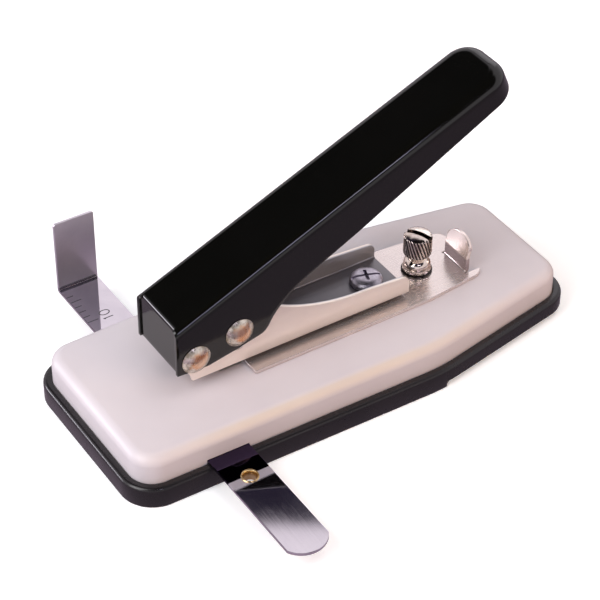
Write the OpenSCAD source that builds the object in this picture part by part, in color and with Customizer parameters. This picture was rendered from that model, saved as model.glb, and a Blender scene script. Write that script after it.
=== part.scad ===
// Table-top slot punch for identity cards.
// Frame: +X from the hinge end to the handle end, +Y towards the upturned guide tab, +Z up.
// The origin lies on the desk, midway along the cast base plate.
// The handle is drawn raised, at rest, as its return springs hold it.

/* [Base plate] */
// Length of the cast base plate
plate_len = 176; // [170:1:190]
// Half width of the plate at its front corners
plate_half_front = 34; // [33:0.5:36]
// Half width of the plate at the bend of its sides
plate_half_bend = 36; // [35:0.5:38]
// Half width of the plate at its rear corners
plate_half_rear = 25; // [23:0.5:27]
// Where the sides bend inwards, from the middle of the plate
bend_x = 28; // [24:1:32]
// Height of the top face over the desk
plate_top = 18.4; // [17.8:0.1:19.4]
// Radius of the plate's corners, seen from above
plate_corner_r = 9; // [7:0.5:11]
// Radius of the rounded upper edge
plate_edge_r = 4; // [3:0.25:5]
// Thickness of the cast top
plate_skin = 4; // [3.5:0.25:4.5]
// Thickness of the cast side walls
plate_wall = 3; // [2.5:0.25:3.5]

/* [Base tray] */
// Width of the black rim round the plate
rim_w = 3.3; // [3:0.1:4]
// Height of the rim over the desk
rim_top = 8.2; // [7.6:0.1:9]
// Thickness of the tray floor
tray_floor = 1.6; // [1.4:0.1:1.8]
// How far the rear floor is raised over the front floor
rear_step = 2.6; // [2.2:0.1:2.8]
// Radius of the rubber feet under the raised rear
foot_r = 5; // [4:0.5:6]

/* [Die frame] */
// Outer half width of the folded steel frame
frame_half = 11.4; // [11.2:0.1:11.5]
// Sheet thickness of the frame
frame_sheet = 1.5; // [1.3:0.1:1.6]
// Height of the card throat under the frame
throat = 3.5; // [3.3:0.1:3.8]
// Rear end of the frame
frame_rear_x = 31.3; // [30:0.1:32]
// Height of the frame's side wall at its rear end
frame_rear_h = 7.6; // [7:0.1:8.5]
// Height of the frame's side wall beside the punch
frame_high_h = 20.6; // [20:0.1:21.2]
// Radius of the hollow curve along the top of the side walls
frame_curve_r = 75.4; // [70:0.2:82]

/* [Lever] */
// Height of the lever's pivot over the desk
pivot_z = 32.6; // [32.4:0.1:33]
// Distance of the pivot from the middle of the plate
pivot_x = -54.8; // [-55:0.1:-54.4]
// Angle of the raised lever
lever_angle = 23.4; // [22:0.1:25]
// Length of the lever behind its pivot
lever_len = 140; // [130:1:150]
// Sheet thickness of the lever
lever_sheet = 1.2; // [1.0:0.1:1.2]
// Height of the lever's top face over its pivot, square to the face
lever_rise = 15.1; // [14.8:0.1:16]
// Depth of the lever's skirt at the rear end
lever_rear_depth = 9.7; // [8.5:0.1:11]
// Radius of the lever's rear corners, seen square to the top face
lever_corner_r = 9; // [8:0.5:10]

/* [Rivets] */
// Radius of the rivet shanks
rivet_r = 2.75; // [2.5:0.05:2.9]
// Radius of the domed rivet heads
rivet_head_r = 5.3; // [4.8:0.1:5.5]
// Height of the domed rivet heads
rivet_head_h = 2.2; // [1.8:0.1:2.6]

/* [Punch] */
// Length of the punched slot
slot_len = 14; // [12:0.5:15]
// Width of the punched slot
slot_w = 3; // [2.6:0.1:3.2]
// Travel of the punch
stroke = 5.18; // [5:0.01:5.18]
// Length of the ram along the base
ram_len = 22; // [21:0.5:22.5]
// Radius of a return spring's coil, to the middle of its wire
spring_r = 2.1; // [1.9:0.05:2.2]
// Radius of the spring wire
wire_r = 0.4; // [0.3:0.05:0.45]
// Turns of each return spring
spring_turns = 7; // [5:1:8]

/* [Depth stop] */
// Thickness of the stop plate
stop_t = 1.5; // [1.2:0.1:1.6]
// Half width of the stop plate
stop_half = 16; // [15.5:0.1:17]
// Front edge of the stop plate, which the card meets
stop_front_x = -34; // [-35:0.1:-33]
// Rear edge of the stop plate
stop_rear_x = 62.5; // [62:0.1:64]
// Travel of the depth stop
stop_travel = 14; // [10:0.5:15]
// Place of the thumb screw along the base
thumb_x = 42.5; // [41.8:0.1:43]
// Radius of the thumb screw's knurled head
thumb_r = 5.1; // [4.6:0.1:5.2]
// Radius of the thumb screw's threaded shank
thumb_shank_r = 2.5; // [2.2:0.1:2.6]

/* [Guide strip] */
// Width of the guide strip
strip_w = 15.6; // [14:0.1:16]
// Thickness of the guide strip
strip_t = 1.1; // [0.9:0.05:1.2]
// Middle of the strip along the base
strip_x = -56.1; // [-57:0.1:-55]
// Outer face of the upturned tab
strip_tab_y = 69.5; // [66:0.5:72]
// Height of the tab over the strip
tab_h = 29; // [25:0.5:31]
// Rounded near end of the strip
strip_end_y = -86.9; // [-88:0.1:-84]

/* [Hidden] */
$fn = 64;

// Named clearances
running_gap = 0.05;   // radial, a shaft that turns in its hole
slide_gap = 0.15;     // each side, flat faces that slide
seat_gap = 0.05;      // faces that lie on each other
open_gap = 0.3;       // pieces that pass each other
eps = 0.01;

// Guide strip, which lies on the tray's rim
strip_bottom = rim_top + seat_gap;
strip_top = strip_bottom + strip_t;
strip_half = strip_w / 2;
strip_end_r = 8.8;
eyelet_y = -47.9;
eyelet_r = 3.2;
eyelet_bore_r = 2.1;
eyelet_rim = 0.5;
eyelet_below = 1.2;
spring_rivet_y = 15;
spring_rivet_r = 1.2;
leaf_t = 0.5;

// The base plate's corners, anticlockwise from the front corner on the near side.
// The soft bend of each side is a short run of corners on one large arc.
half_len = plate_len / 2;
front_corner = [-half_len, -plate_half_front];
rear_corner = [half_len, -plate_half_rear];
bend_r = 70;
bend_arc = corner_arc(front_corner, [bend_x, -plate_half_bend], rear_corner, bend_r, 4);
bend_disc = 30;
plate_corners = concat([front_corner], bend_arc, [rear_corner],
                       [[rear_corner.x, -rear_corner.y]],
                       [for (i = [4:-1:0]) [bend_arc[i].x, -bend_arc[i].y]],
                       [[front_corner.x, -front_corner.y]]);
bend_radii = [for (p = bend_arc) bend_disc];
plate_radii = concat([plate_corner_r], bend_radii, [plate_corner_r, plate_corner_r],
                     bend_radii, [plate_corner_r]);
plate_foot = 5;
plate_inside_top = plate_top - plate_skin;
rear_floor_top = rear_step + tray_floor;

// Frame, pivot and drive
frame_bottom = plate_top + throat;
frame_floor_top = frame_bottom + frame_sheet;
frame_inner = frame_half - frame_sheet;
frame_front_x = pivot_x + 0.1;
frame_nose_r = 4.8;
frame_edge_r = 1.0;                             // outside, along the wall's foot
frame_inner_r = 0.8;                            // inside, wall to floor
frame_high_z = frame_bottom + frame_high_h;
frame_rear_z = frame_bottom + frame_rear_h;
frame_curve_x = 13.7;
frame_curve_foot = frame_bottom + frame_rear_h + 1.1;
drive_arm = [16.6, 4.0];                        // pivot to drive rivet, lever raised
drive_x = pivot_x + drive_arm.x;
drive_z = pivot_z + drive_arm.y;
lever_inner = frame_half + open_gap;
lever_half = lever_inner + lever_sheet;

// Punch and ram
ram_half = ram_len / 2;
ram_half_y = frame_inner - slide_gap;
ram_bottom = frame_floor_top + stroke + 0.12;
ram_top = drive_z + 4.4;
blade_tip = frame_bottom + 0.4;
blade_top = ram_bottom + 5;
pocket_x = 7.4;
pocket_r = spring_r + wire_r + 0.3;
pocket_top = ram_top - 1.6;
die_h = 6;
die_half_x = 5;
die_half_y = slot_len / 2 + 1.1;
die_gap = 0.1;                                  // each side, punch in its die

// Fasteners of the frame
screw_r = 2.45;
screw_head_r = 5.8;
screw_head_h = 3.2;
rear_screw_x = 21;
front_screw_x = -17;
spacer_half = 6;
rear_spacer_x = [9, 27];
screw_hole_r = screw_r + 0.25;
screw_depth = 8.5;                              // of the shank below the plate's top face

// Depth stop
stop_bottom = plate_top + seat_gap;
stop_top = stop_bottom + stop_t;
stop_rear_half = 13.4;
stop_bend_x = 37.2;
stop_slot_half = spacer_half + slide_gap;
stop_slot_end = rear_spacer_x[1] + open_gap;
finger_x = 56.3;
finger_y = [-10.4, 2.4];
finger_h = 5.15;
finger_reach = 7.4;
finger_lean = 14;
finger_crown = 4.2;                             // height of the leaf's rounded top
nut_half = [7, 5];
nut_t = 3;
nut_top = plate_inside_top - 0.2;

// Fasteners of the tray
tray_screw_r = 1.5;
tray_screw_head_r = 2.8;
tray_screw_head_h = 1.2;
tray_screw_cross = 3;                           // length of the cross's arms
tray_screw_front = [11 - half_len, plate_half_front - 12];
tray_screw_rear = [half_len - 26, plate_half_rear - 8];
tray_screw_top = 12;
foot_at = [half_len - 8, plate_half_rear - 8];

// ---- plane geometry --------------------------------------------------------

function unit(v) = v / norm(v);

// The centre of a circle of radius r that touches both sides of the corner at b
function corner_centre(a, b, c, r) =
    let (u = unit(a - b), v = unit(c - b))
    b + unit(u + v) * r / sin(acos(u * v) / 2);

// The arc that rounds the corner at b
function corner_arc(a, b, c, r, n) =
    let (o = corner_centre(a, b, c, r),
         u = unit(a - b), v = unit(c - b),
         t = r / tan(acos(u * v) / 2),
         p = b + u * t - o, q = b + v * t - o,
         start = atan2(p.y, p.x),
         turn = (atan2(q.y, q.x) - start + 540) % 360 - 180)
    [for (i = [0:n]) o + r * [cos(start + turn * i / n), sin(start + turn * i / n)]];

// An outline with every corner rounded by its own radius, a radius of 0 left sharp
function rounded(pts, radii, n = 8) =
    let (m = len(pts))
    [for (i = [0:m - 1])
        each radii[i] == 0
            ? [pts[i]]
            : corner_arc(pts[(i + m - 1) % m], pts[i], pts[(i + 1) % m], radii[i], n)];

// The plate's outline moved outwards by d, with its corners rounded to match
function plate_outline(d) =
    let (m = len(plate_corners))
    rounded([for (i = [0:m - 1])
                corner_centre(plate_corners[(i + m - 1) % m], plate_corners[i],
                              plate_corners[(i + 1) % m], -d)],
            [for (r = plate_radii) r == bend_disc ? 0 : r + d]);

function rectangle(lo, hi) = [lo, [hi.x, lo.y], hi, [lo.x, hi.y]];

// A point of the lever, given along and square to its top face from the pivot
function lever_point(p) =
    [pivot_x + p.x * cos(lever_angle) - p.y * sin(lever_angle),
     pivot_z + p.x * sin(lever_angle) + p.y * cos(lever_angle)];

// ---- shared solids ---------------------------------------------------------

// A prism between two heights
module prism(pts, z0, z1) {
    translate([0, 0, z0]) linear_extrude(z1 - z0) polygon(pts);
}

// A prism across the base, from an outline given in x and z
module cross_prism(pts, y0, y1) {
    translate([0, y1, 0]) rotate([90, 0, 0]) linear_extrude(y1 - y0) polygon(pts);
}

module post(x, y, z0, z1, r) {
    translate([x, y, z0]) cylinder(h = z1 - z0, r = r);
}

// A cylinder across the base
module cross_pin(x, z, r, y0, y1) {
    translate([x, y1, z]) rotate([90, 0, 0]) cylinder(h = y1 - y0, r = r);
}

// A long hole with round ends, its length along Y or along X
module slot_y(x, half, r, z0, z1) {
    for (y = [-half + r, half - r]) post(x, y, z0, z1, r);
    prism(rectangle([x - r, -half + r], [x + r, half - r]), z0, z1);
}

module slot_x(x0, x1, r, z0, z1) {
    for (x = [x0 + r, x1 - r]) post(x, 0, z0, z1, r);
    prism(rectangle([x0 + r, -r], [x1 - r, r]), z0, z1);
}

// The turned quarter of a rounded block's corner
module edge_corner(o, r, edge, z0, z1) {
    steps = 6;
    translate([o.x, o.y, 0])
        rotate_extrude($fn = 56)
            polygon([[0, z0], [r, z0],
                     for (i = [0:steps]) [r - edge + edge * cos(90 * i / steps),
                                          z1 - edge + edge * sin(90 * i / steps)],
                     [0, z1]]);
}

// A block with rounded corners and a rounded upper edge
module rounded_block(pts, radii, edge, z0, z1) {
    m = len(pts);
    hull()
        for (i = [0:m - 1])
            edge_corner(corner_centre(pts[(i + m - 1) % m], pts[i], pts[(i + 1) % m], radii[i]),
                        radii[i], edge, z0, z1);
}

// A domed head on a rivet, its flat side at y and its dome towards side
module rivet_head(x, z, y, side) {
    dome_r = (rivet_head_r * rivet_head_r + rivet_head_h * rivet_head_h) / (2 * rivet_head_h);
    translate([x, y, z]) rotate([side > 0 ? -90 : 90, 0, 0])
        intersection() {
            translate([0, 0, rivet_head_h - dome_r]) sphere(r = dome_r);
            cylinder(h = rivet_head_h, r = rivet_head_r);
        }
}

// A rivet across the lever, headed on both sides
module cross_rivet(x, z) {
    face = lever_half + seat_gap;
    cross_pin(x, z, rivet_r, -face - eps, face + eps);
    rivet_head(x, z, face, 1);
    rivet_head(x, z, -face, -1);
}

// ---- base ------------------------------------------------------------------

module base_plate() {
    boss_r = 6.5;
    screw_hole = tray_screw_r + running_gap;
    color([0.86, 0.82, 0.83]) difference() {
        union() {
            difference() {
                rounded_block(plate_corners, plate_radii, plate_edge_r, plate_foot, plate_top);
                prism(plate_outline(-plate_wall), plate_foot - 1, plate_inside_top);
            }
            // Bosses of the two frame screws and the seat of the die
            for (x = [rear_screw_x, front_screw_x])
                post(x, 0, plate_top - screw_depth - 1.5, plate_inside_top + 1, boss_r);
            prism(rectangle([drive_x - die_half_x - 3, -die_half_y - 3],
                            [drive_x + die_half_x + 3, die_half_y + 3]),
                  plate_top - die_h - 2.5, plate_inside_top + 1);
            // Bosses of the tray's screws
            for (side = [-1, 1]) {
                post(tray_screw_front.x, side * tray_screw_front.y,
                     plate_foot, plate_inside_top + 1, 4);
                post(tray_screw_rear.x, side * tray_screw_rear.y,
                     plate_foot, plate_inside_top + 1, 4);
            }
            // Ribs that keep the clamp nut from turning
            for (side = [-1, 1])
                prism(rectangle([thumb_x - nut_half.x - 2, side * (nut_half.y + 1.4) - 1],
                                [thumb_x + stop_travel + nut_half.x + 2,
                                 side * (nut_half.y + 1.4) + 1]),
                      nut_top - nut_t, plate_inside_top + 1);
            // Ribs that hold the guide strip down on its bed
            for (side = [-1, 1])
                prism(rectangle([strip_x - strip_half, side * 26 - 1],
                                [strip_x + strip_half, side * 26 + 1]),
                      strip_top + slide_gap, plate_inside_top + 1);
        }
        for (x = [rear_screw_x, front_screw_x])
            post(x, 0, plate_top - screw_depth - 2.5, plate_top + 1, screw_r + running_gap);
        // Seat of the die and the chip hole under it
        prism(rectangle([drive_x - die_half_x - seat_gap, -die_half_y - seat_gap],
                        [drive_x + die_half_x + seat_gap, die_half_y + seat_gap]),
              plate_top - die_h - seat_gap, plate_top + 1);
        slot_y(drive_x, slot_len / 2 + 1.2, slot_w / 2 + 1.2, plate_top - die_h - 4, plate_top);
        // Slot in which the thumb screw's shank travels
        slot_x(thumb_x - thumb_shank_r - open_gap,
               thumb_x + stop_travel + thumb_shank_r + open_gap,
               thumb_shank_r + open_gap, plate_inside_top - 1, plate_top + 1);
        // The guide strip passes through both side walls
        prism(rectangle([strip_x - strip_half - slide_gap, -half_len],
                        [strip_x + strip_half + slide_gap, half_len]),
              plate_foot - 1, strip_top + slide_gap);
        for (side = [-1, 1]) {
            post(tray_screw_front.x, side * tray_screw_front.y, 0, tray_screw_top + 0.5,
                 screw_hole);
            post(tray_screw_rear.x, side * tray_screw_rear.y, 0, tray_screw_top + 0.5,
                 screw_hole);
            // The strip's leaf spring is riveted under the top
            post(strip_x, side * spring_rivet_y, plate_inside_top - 1, plate_inside_top + 2,
                 spring_rivet_r + running_gap);
        }
    }
}

module base_tray() {
    step_x = bend_x + 1;
    bed = strip_half - open_gap;
    color([0.10, 0.09, 0.10]) difference() {
        union() {
            difference() {
                prism(plate_outline(rim_w), 0, rim_top);
                // The rear floor is higher than the front floor
                cross_prism(rounded([[step_x, -1], [2 * half_len, -1], [2 * half_len, rear_step],
                                     [step_x, rear_step]], [0, 0, 0, 1.2], 4),
                            -half_len, half_len);
                // The plate's walls stand inside the rim
                prism(plate_outline(slide_gap), plate_foot - seat_gap, rim_top + 1);
                // The chip well under the front, and the shallower well behind it
                intersection() {
                    prism(plate_outline(-plate_wall - 0.5), tray_floor, rim_top);
                    prism(rectangle([-half_len, -half_len], [step_x - 2.4, half_len]), 0, rim_top);
                }
                intersection() {
                    prism(plate_outline(-plate_wall - 0.5), rear_floor_top, rim_top);
                    prism(rectangle([step_x - 2.5, -half_len], [half_len, half_len]), 0, rim_top);
                }
            }
            // Bed of the guide strip, as high as the rim
            intersection() {
                prism(plate_outline(rim_w / 2), tray_floor - eps, rim_top);
                union() {
                    for (side = [-1, 1])
                        prism(rectangle([strip_x + side * (bed - 1) - 1, -half_len],
                                        [strip_x + side * (bed - 1) + 1, half_len]), 0, rim_top);
                    for (y = [-1, 1])
                        prism(rectangle([strip_x - bed, y * (plate_half_front - 1.5) - 2.5],
                                        [strip_x + bed, y * (plate_half_front - 1.5) + 2.5]),
                              0, rim_top);
                }
            }
            // Pads that the tray's screws pull against the plate's bosses
            for (side = [-1, 1]) {
                post(tray_screw_front.x, side * tray_screw_front.y, tray_floor - eps,
                     plate_foot - seat_gap, 4);
                post(tray_screw_rear.x, side * tray_screw_rear.y, rear_floor_top - eps,
                     plate_foot - seat_gap, 4);
            }
        }
        for (side = [-1, 1]) {
            tray_screw_hole(tray_screw_front.x, side * tray_screw_front.y, 0);
            tray_screw_hole(tray_screw_rear.x, side * tray_screw_rear.y, rear_step);
        }
    }
}

module tray_screw_hole(x, y, z) {
    post(x, y, z - 1, z + 8, tray_screw_r + 0.1);
    post(x, y, z - 1, z + 0.2 + tray_screw_head_h + seat_gap, tray_screw_head_r + 0.2);
}

module tray_screw(x, y, z) {
    head_low = z + 0.2;
    head_top = head_low + tray_screw_head_h;
    difference() {
        union() {
            post(x, y, head_low, head_top, tray_screw_head_r);
            post(x, y, head_top - eps, tray_screw_top, tray_screw_r);
        }
        for (turn = [0, 90])
            translate([x, y, head_low]) rotate([0, 0, turn])
                cube([tray_screw_cross, 0.7, 1], center = true);
    }
}

module tray_screws() {
    color([0.6, 0.6, 0.62])
        for (side = [-1, 1]) {
            tray_screw(tray_screw_front.x, side * tray_screw_front.y, 0);
            tray_screw(tray_screw_rear.x, side * tray_screw_rear.y, rear_step);
        }
}

module rear_feet() {
    foot_top = rear_step - seat_gap;
    color([0.16, 0.15, 0.15])
        for (side = [-1, 1])
            translate([foot_at.x, side * foot_at.y, 0])
                rotate_extrude()
                    polygon([[0, 0], [foot_r - 0.5, 0], [foot_r, 0.5], [foot_r, foot_top],
                             [0, foot_top]]);
}

// ---- die and frame -----------------------------------------------------------

module die_insert() {
    color([0.42, 0.42, 0.44]) difference() {
        prism(rectangle([drive_x - die_half_x, -die_half_y], [drive_x + die_half_x, die_half_y]),
              plate_top - die_h, plate_top);
        slot_y(drive_x, slot_len / 2 + die_gap, slot_w / 2 + die_gap,
               plate_top - 2.5, plate_top + 1);
        slot_y(drive_x, slot_len / 2 + 0.8, slot_w / 2 + 0.8,
               plate_top - die_h - 1, plate_top - 2.4);
    }
}

// The frame's side, in x and z: a nose round the pivot, a high cheek beside the punch
// and a long hollow curve down to the low rear end
function frame_side() =
    let (high_rear = frame_curve_x - sqrt(pow(frame_curve_r, 2)
                     - pow(frame_curve_foot + frame_curve_r - frame_high_z + 1.2, 2)),
         span = asin((frame_curve_x - high_rear) / frame_curve_r))
    concat([[frame_front_x, frame_bottom], [frame_rear_x, frame_bottom]],
           corner_arc([frame_rear_x, frame_bottom], [frame_rear_x, frame_rear_z],
                      [frame_curve_x, frame_curve_foot], 3, 6),
           [for (i = [0:12])
               let (a = span * i / 12)
               [frame_curve_x - frame_curve_r * sin(a),
                frame_curve_foot + frame_curve_r * (1 - cos(a))]],
           [[high_rear - 2.6, frame_high_z], [pivot_x + 9, frame_high_z]],
           [for (i = [0:8])
               let (a = 105 + 100 * i / 8)
               [pivot_x + frame_nose_r * cos(a), pivot_z + frame_nose_r * sin(a)]]);

// The frame's section across the base: a floor with two walls and round folds
function frame_section(half, bottom, fold) =
    let (top = frame_high_z + 1)
    concat([[half, top], [-half, top]],
           corner_arc([-half, top], [-half, bottom], [half, bottom], fold, 6),
           corner_arc([-half, bottom], [half, bottom], [half, top], fold, 6));

module frame_sweep(section) {
    x0 = pivot_x - 8;
    x1 = frame_rear_x + 2;
    translate([x0, 0, 0]) rotate([90, 0, 90]) linear_extrude(x1 - x0) polygon(section);
}

module die_frame() {
    slot_r = rivet_r + 0.6;
    color([0.84, 0.78, 0.74]) difference() {
        intersection() {
            cross_prism(frame_side(), -frame_half - 1, frame_half + 1);
            difference() {
                frame_sweep(frame_section(frame_half, frame_bottom, frame_edge_r));
                frame_sweep(frame_section(frame_inner, frame_floor_top, frame_inner_r));
            }
        }
        cross_pin(pivot_x, pivot_z, rivet_r + running_gap, -frame_half - 1, frame_half + 1);
        // The drive rivet's travel
        for (z = [drive_z, drive_z - stroke])
            cross_pin(drive_x, z, slot_r, -frame_half - 1, frame_half + 1);
        translate([drive_x - slot_r, -frame_half - 1, drive_z - stroke])
            cube([2 * slot_r, 2 * frame_half + 2, stroke]);
        slot_y(drive_x, slot_len / 2 + die_gap, slot_w / 2 + die_gap,
               frame_bottom - 1, frame_floor_top + 1);
        for (x = [rear_screw_x, front_screw_x])
            post(x, 0, frame_bottom - 1, frame_floor_top + 1, screw_hole_r);
    }
}

module rear_spacer() {
    color([0.55, 0.55, 0.57]) difference() {
        prism(rounded(rectangle([rear_spacer_x[0], -spacer_half], [rear_spacer_x[1], spacer_half]),
                      [1, 1, 1, 1], 4),
              plate_top, frame_bottom);
        post(rear_screw_x, 0, plate_top - 1, frame_bottom + 1, screw_hole_r);
    }
}

module front_spacer() {
    color([0.55, 0.55, 0.57]) difference() {
        post(front_screw_x, 0, plate_top, frame_bottom, spacer_half);
        post(front_screw_x, 0, plate_top - 1, frame_bottom + 1, screw_hole_r);
    }
}

// Pan-head screws that take a flat or a cross driver
module frame_screws() {
    slot_turn = -19;
    color([0.72, 0.71, 0.74])
        for (x = [rear_screw_x, front_screw_x])
            translate([x, 0, 0]) difference() {
                union() {
                    rotate_extrude()
                        polygon([[0, frame_floor_top], [screw_head_r, frame_floor_top],
                                 [screw_head_r, frame_floor_top + 0.9],
                                 for (i = [0:8])
                                     let (a = 90 * i / 8)
                                     [screw_head_r - 2.6 + 2.6 * cos(a),
                                      frame_floor_top + 1.1 + (screw_head_h - 1.1) * sin(a)],
                                 [0, frame_floor_top + screw_head_h]]);
                    post(0, 0, plate_top - screw_depth, frame_floor_top + eps, screw_r);
                }
                // One slot right across the head, and a shorter, deeper one across it
                rotate([0, 0, slot_turn])
                    translate([-screw_head_r - 1, -0.5, frame_floor_top + screw_head_h - 1.2])
                        cube([2 * screw_head_r + 2, 1, 2]);
                rotate([0, 0, slot_turn])
                    translate([-0.55, -2.7, frame_floor_top + screw_head_h - 2])
                        cube([1.1, 5.4, 3]);
            }
}

module pivot_spacer() {
    color([0.66, 0.66, 0.68]) difference() {
        cross_pin(pivot_x, pivot_z, rivet_r + 1.25, -frame_inner + seat_gap,
                  frame_inner - seat_gap);
        cross_pin(pivot_x, pivot_z, rivet_r + running_gap, -frame_half, frame_half);
    }
}

module pivot_rivet() {
    color([0.82, 0.72, 0.60]) cross_rivet(pivot_x, pivot_z);
}

// ---- lever -------------------------------------------------------------------

// The lever's side, from its pivot, along and square to its top face
lever_side = [[-7.5, -1.2], [2.5, -6.3], [23.8, -10.4], [26.3, -9.8], [29.2, -7.4],
              [32.9, -5.3], [38.0, -3.3], [42.8, -2.2], [69.0, -0.7]];

// Hollow body of the lever, before its side is cut to shape
module lever_shape(wall) {
    front = -20;
    deep = -30;
    rear = lever_len - wall;
    half = lever_half - wall;
    edge_front = 2.6 - wall;
    edge_rear = 4.6 - wall;
    top = lever_rise - wall;
    hull() {
        for (side = [-1, 1]) {
            edge_corner([front, side * (half - edge_front)], edge_front, edge_front, deep, top);
            edge_corner([rear - lever_corner_r + wall, side * (half - lever_corner_r + wall)],
                        lever_corner_r - wall, edge_rear, deep, top);
        }
    }
}

module lever_pose() {
    translate([pivot_x, 0, pivot_z]) rotate([0, -lever_angle, 0]) children();
}

module lever() {
    rear_low = lever_rise - lever_rear_depth;
    front_x = -6.5;                       // outer face of the front flange, from the pivot
    flange_low = pivot_z - 3.9;
    face_z = pivot_z + lever_rise / cos(lever_angle) + front_x * tan(lever_angle);
    side = concat([for (p = lever_side) p], [[lever_len + 1, rear_low], [lever_len + 1, 20],
                  [-15, 20]]);
    color([0.07, 0.06, 0.08]) difference() {
        union() {
            intersection() {
                lever_pose() difference() {
                    lever_shape(0);
                    lever_shape(lever_sheet);
                }
                lever_pose() cross_prism(side, -lever_half - 1, lever_half + 1);
                // The front edges of the cheeks stand upright
                translate([pivot_x + front_x - 0.6, -lever_half - 1, 0])
                    cube([lever_len + 20, 2 * lever_half + 2, 130]);
            }
            // The front flange, folded down between the cheeks
            intersection() {
                translate([pivot_x + front_x, -lever_inner + 0.25, flange_low])
                    cube([lever_sheet, 2 * lever_inner - 0.5, face_z - flange_low + 2]);
                lever_pose() lever_shape(0);
            }
        }
        cross_pin(pivot_x, pivot_z, rivet_r + running_gap, -lever_half - 1, lever_half + 1);
        cross_pin(drive_x, drive_z, rivet_r + running_gap, -lever_half - 1, lever_half + 1);
    }
}

module drive_rivet() {
    color([0.82, 0.72, 0.60]) cross_rivet(drive_x, drive_z);
}

// ---- punch -------------------------------------------------------------------

module punch_ram() {
    hole_r = rivet_r + 0.1;
    hole_shift = 0.6;
    bevel = frame_inner_r + slide_gap;              // clears the frame's inner corners
    color([0.45, 0.45, 0.47]) difference() {
        translate([drive_x - ram_half, 0, 0]) rotate([90, 0, 90]) linear_extrude(ram_len)
            polygon([[-ram_half_y + bevel, ram_bottom], [ram_half_y - bevel, ram_bottom],
                     [ram_half_y, ram_bottom + bevel], [ram_half_y, ram_top - 0.6],
                     [ram_half_y - 0.6, ram_top], [-ram_half_y + 0.6, ram_top],
                     [-ram_half_y, ram_top - 0.6], [-ram_half_y, ram_bottom + bevel]]);
        // The drive rivet moves a little along the base as the lever swings
        for (shift = [-hole_shift, hole_shift])
            cross_pin(drive_x + shift, drive_z, hole_r, -ram_half_y - 1, ram_half_y + 1);
        translate([drive_x - hole_shift, -ram_half_y - 1, drive_z - hole_r])
            cube([2 * hole_shift, 2 * ram_half_y + 2, 2 * hole_r]);
        for (side = [-1, 1])
            post(drive_x + side * pocket_x, 0, ram_bottom - 1, pocket_top, pocket_r);
        slot_y(drive_x, slot_len / 2 + seat_gap, slot_w / 2 + seat_gap,
               ram_bottom - 1, blade_top + seat_gap);
        blade_pin_hole(running_gap);
    }
}

blade_pin_y = 5.2;
blade_pin_r = 1;

module blade_pin_hole(gap) {
    translate([drive_x - ram_half - 1, blade_pin_y, ram_bottom + 2.6])
        rotate([0, 90, 0]) cylinder(h = ram_len + 2, r = blade_pin_r + gap);
}

module punch_blade() {
    color([0.62, 0.62, 0.65]) difference() {
        slot_y(drive_x, slot_len / 2, slot_w / 2, blade_tip, blade_top);
        // The hollow cutting edge starts its cut at both ends of the slot
        cross_relief_r = 26;
        translate([drive_x - slot_w, 0, blade_tip + 1.0 - cross_relief_r])
            rotate([0, 90, 0]) cylinder(h = 2 * slot_w, r = cross_relief_r, $fn = 96);
        blade_pin_hole(running_gap);
    }
}

module blade_pin() {
    color([0.7, 0.7, 0.72])
        translate([drive_x - ram_half + 0.5, blade_pin_y, ram_bottom + 2.6])
            rotate([0, 90, 0]) cylinder(h = ram_len - 1, r = blade_pin_r);
}

// One return spring as a single unbroken tube, rising from the frame's floor
// into its pocket in the ram
spring_low = frame_floor_top + wire_r + seat_gap;
spring_high = pocket_top - wire_r - seat_gap;
spring_sides = 6;
spring_steps = 8;

function spring_middle(turn) =
    [spring_r * cos(360 * turn), spring_r * sin(360 * turn),
     spring_low + (spring_high - spring_low) * turn / spring_turns];

function spring_ring(turn) =
    let (o = spring_middle(turn),
         out = [cos(360 * turn), sin(360 * turn), 0])
    [for (k = [0:spring_sides - 1])
        let (a = 360 * k / spring_sides)
        o + wire_r * (cos(a) * out + sin(a) * [0, 0, 1])];

spring_pitch = (spring_high - spring_low) / spring_turns;
spring_clear = spring_pitch - 2 * wire_r;
echo(spring_gap = spring_clear);

module coil() {
    rings = spring_turns * spring_steps;
    n = spring_sides;
    pts = [for (i = [0:rings]) each spring_ring(i / spring_steps)];
    walls = [for (i = [0:rings - 1], k = [0:n - 1])
                let (a = i * n + k, b = i * n + (k + 1) % n)
                each [[a, a + n, b], [b, a + n, b + n]]];
    ends = [[for (k = [0:n - 1]) k], [for (k = [0:n - 1]) rings * n + n - 1 - k]];
    polyhedron(points = pts, faces = concat(walls, ends), convexity = 6);
}

module return_springs() {
    color([0.6, 0.6, 0.62])
        for (side = [-1, 1])
            translate([drive_x + side * pocket_x, 0, 0]) coil();
}

// ---- depth stop ----------------------------------------------------------------

module stop_plate() {
    notch = [finger_y[0] - 0.6, finger_y[1] + 0.6];
    outline = rounded([[stop_front_x, -stop_half], [stop_bend_x, -stop_half],
                       [stop_rear_x, -stop_rear_half], [stop_rear_x, stop_rear_half],
                       [stop_bend_x, stop_half], [stop_front_x, stop_half]],
                      [1, 20, 5, 5, 20, 1], 6);
    color([0.87, 0.78, 0.76]) {
        difference() {
            prism(outline, stop_bottom, stop_top);
            // Fork that straddles the two spacers
            prism(rectangle([stop_front_x - 1, -stop_slot_half], [stop_slot_end, stop_slot_half]),
                  stop_bottom - 1, stop_top + 1);
            post(thumb_x, 0, stop_bottom - 1, stop_top + 1, thumb_shank_r + running_gap);
            // Notch left where the finger tab was bent up
            prism(rectangle([finger_x + stop_t, notch[0]], [stop_rear_x + 1, notch[1]]),
                  stop_bottom - 1, stop_top + 1);
        }
        finger_tab();
    }
}

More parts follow.
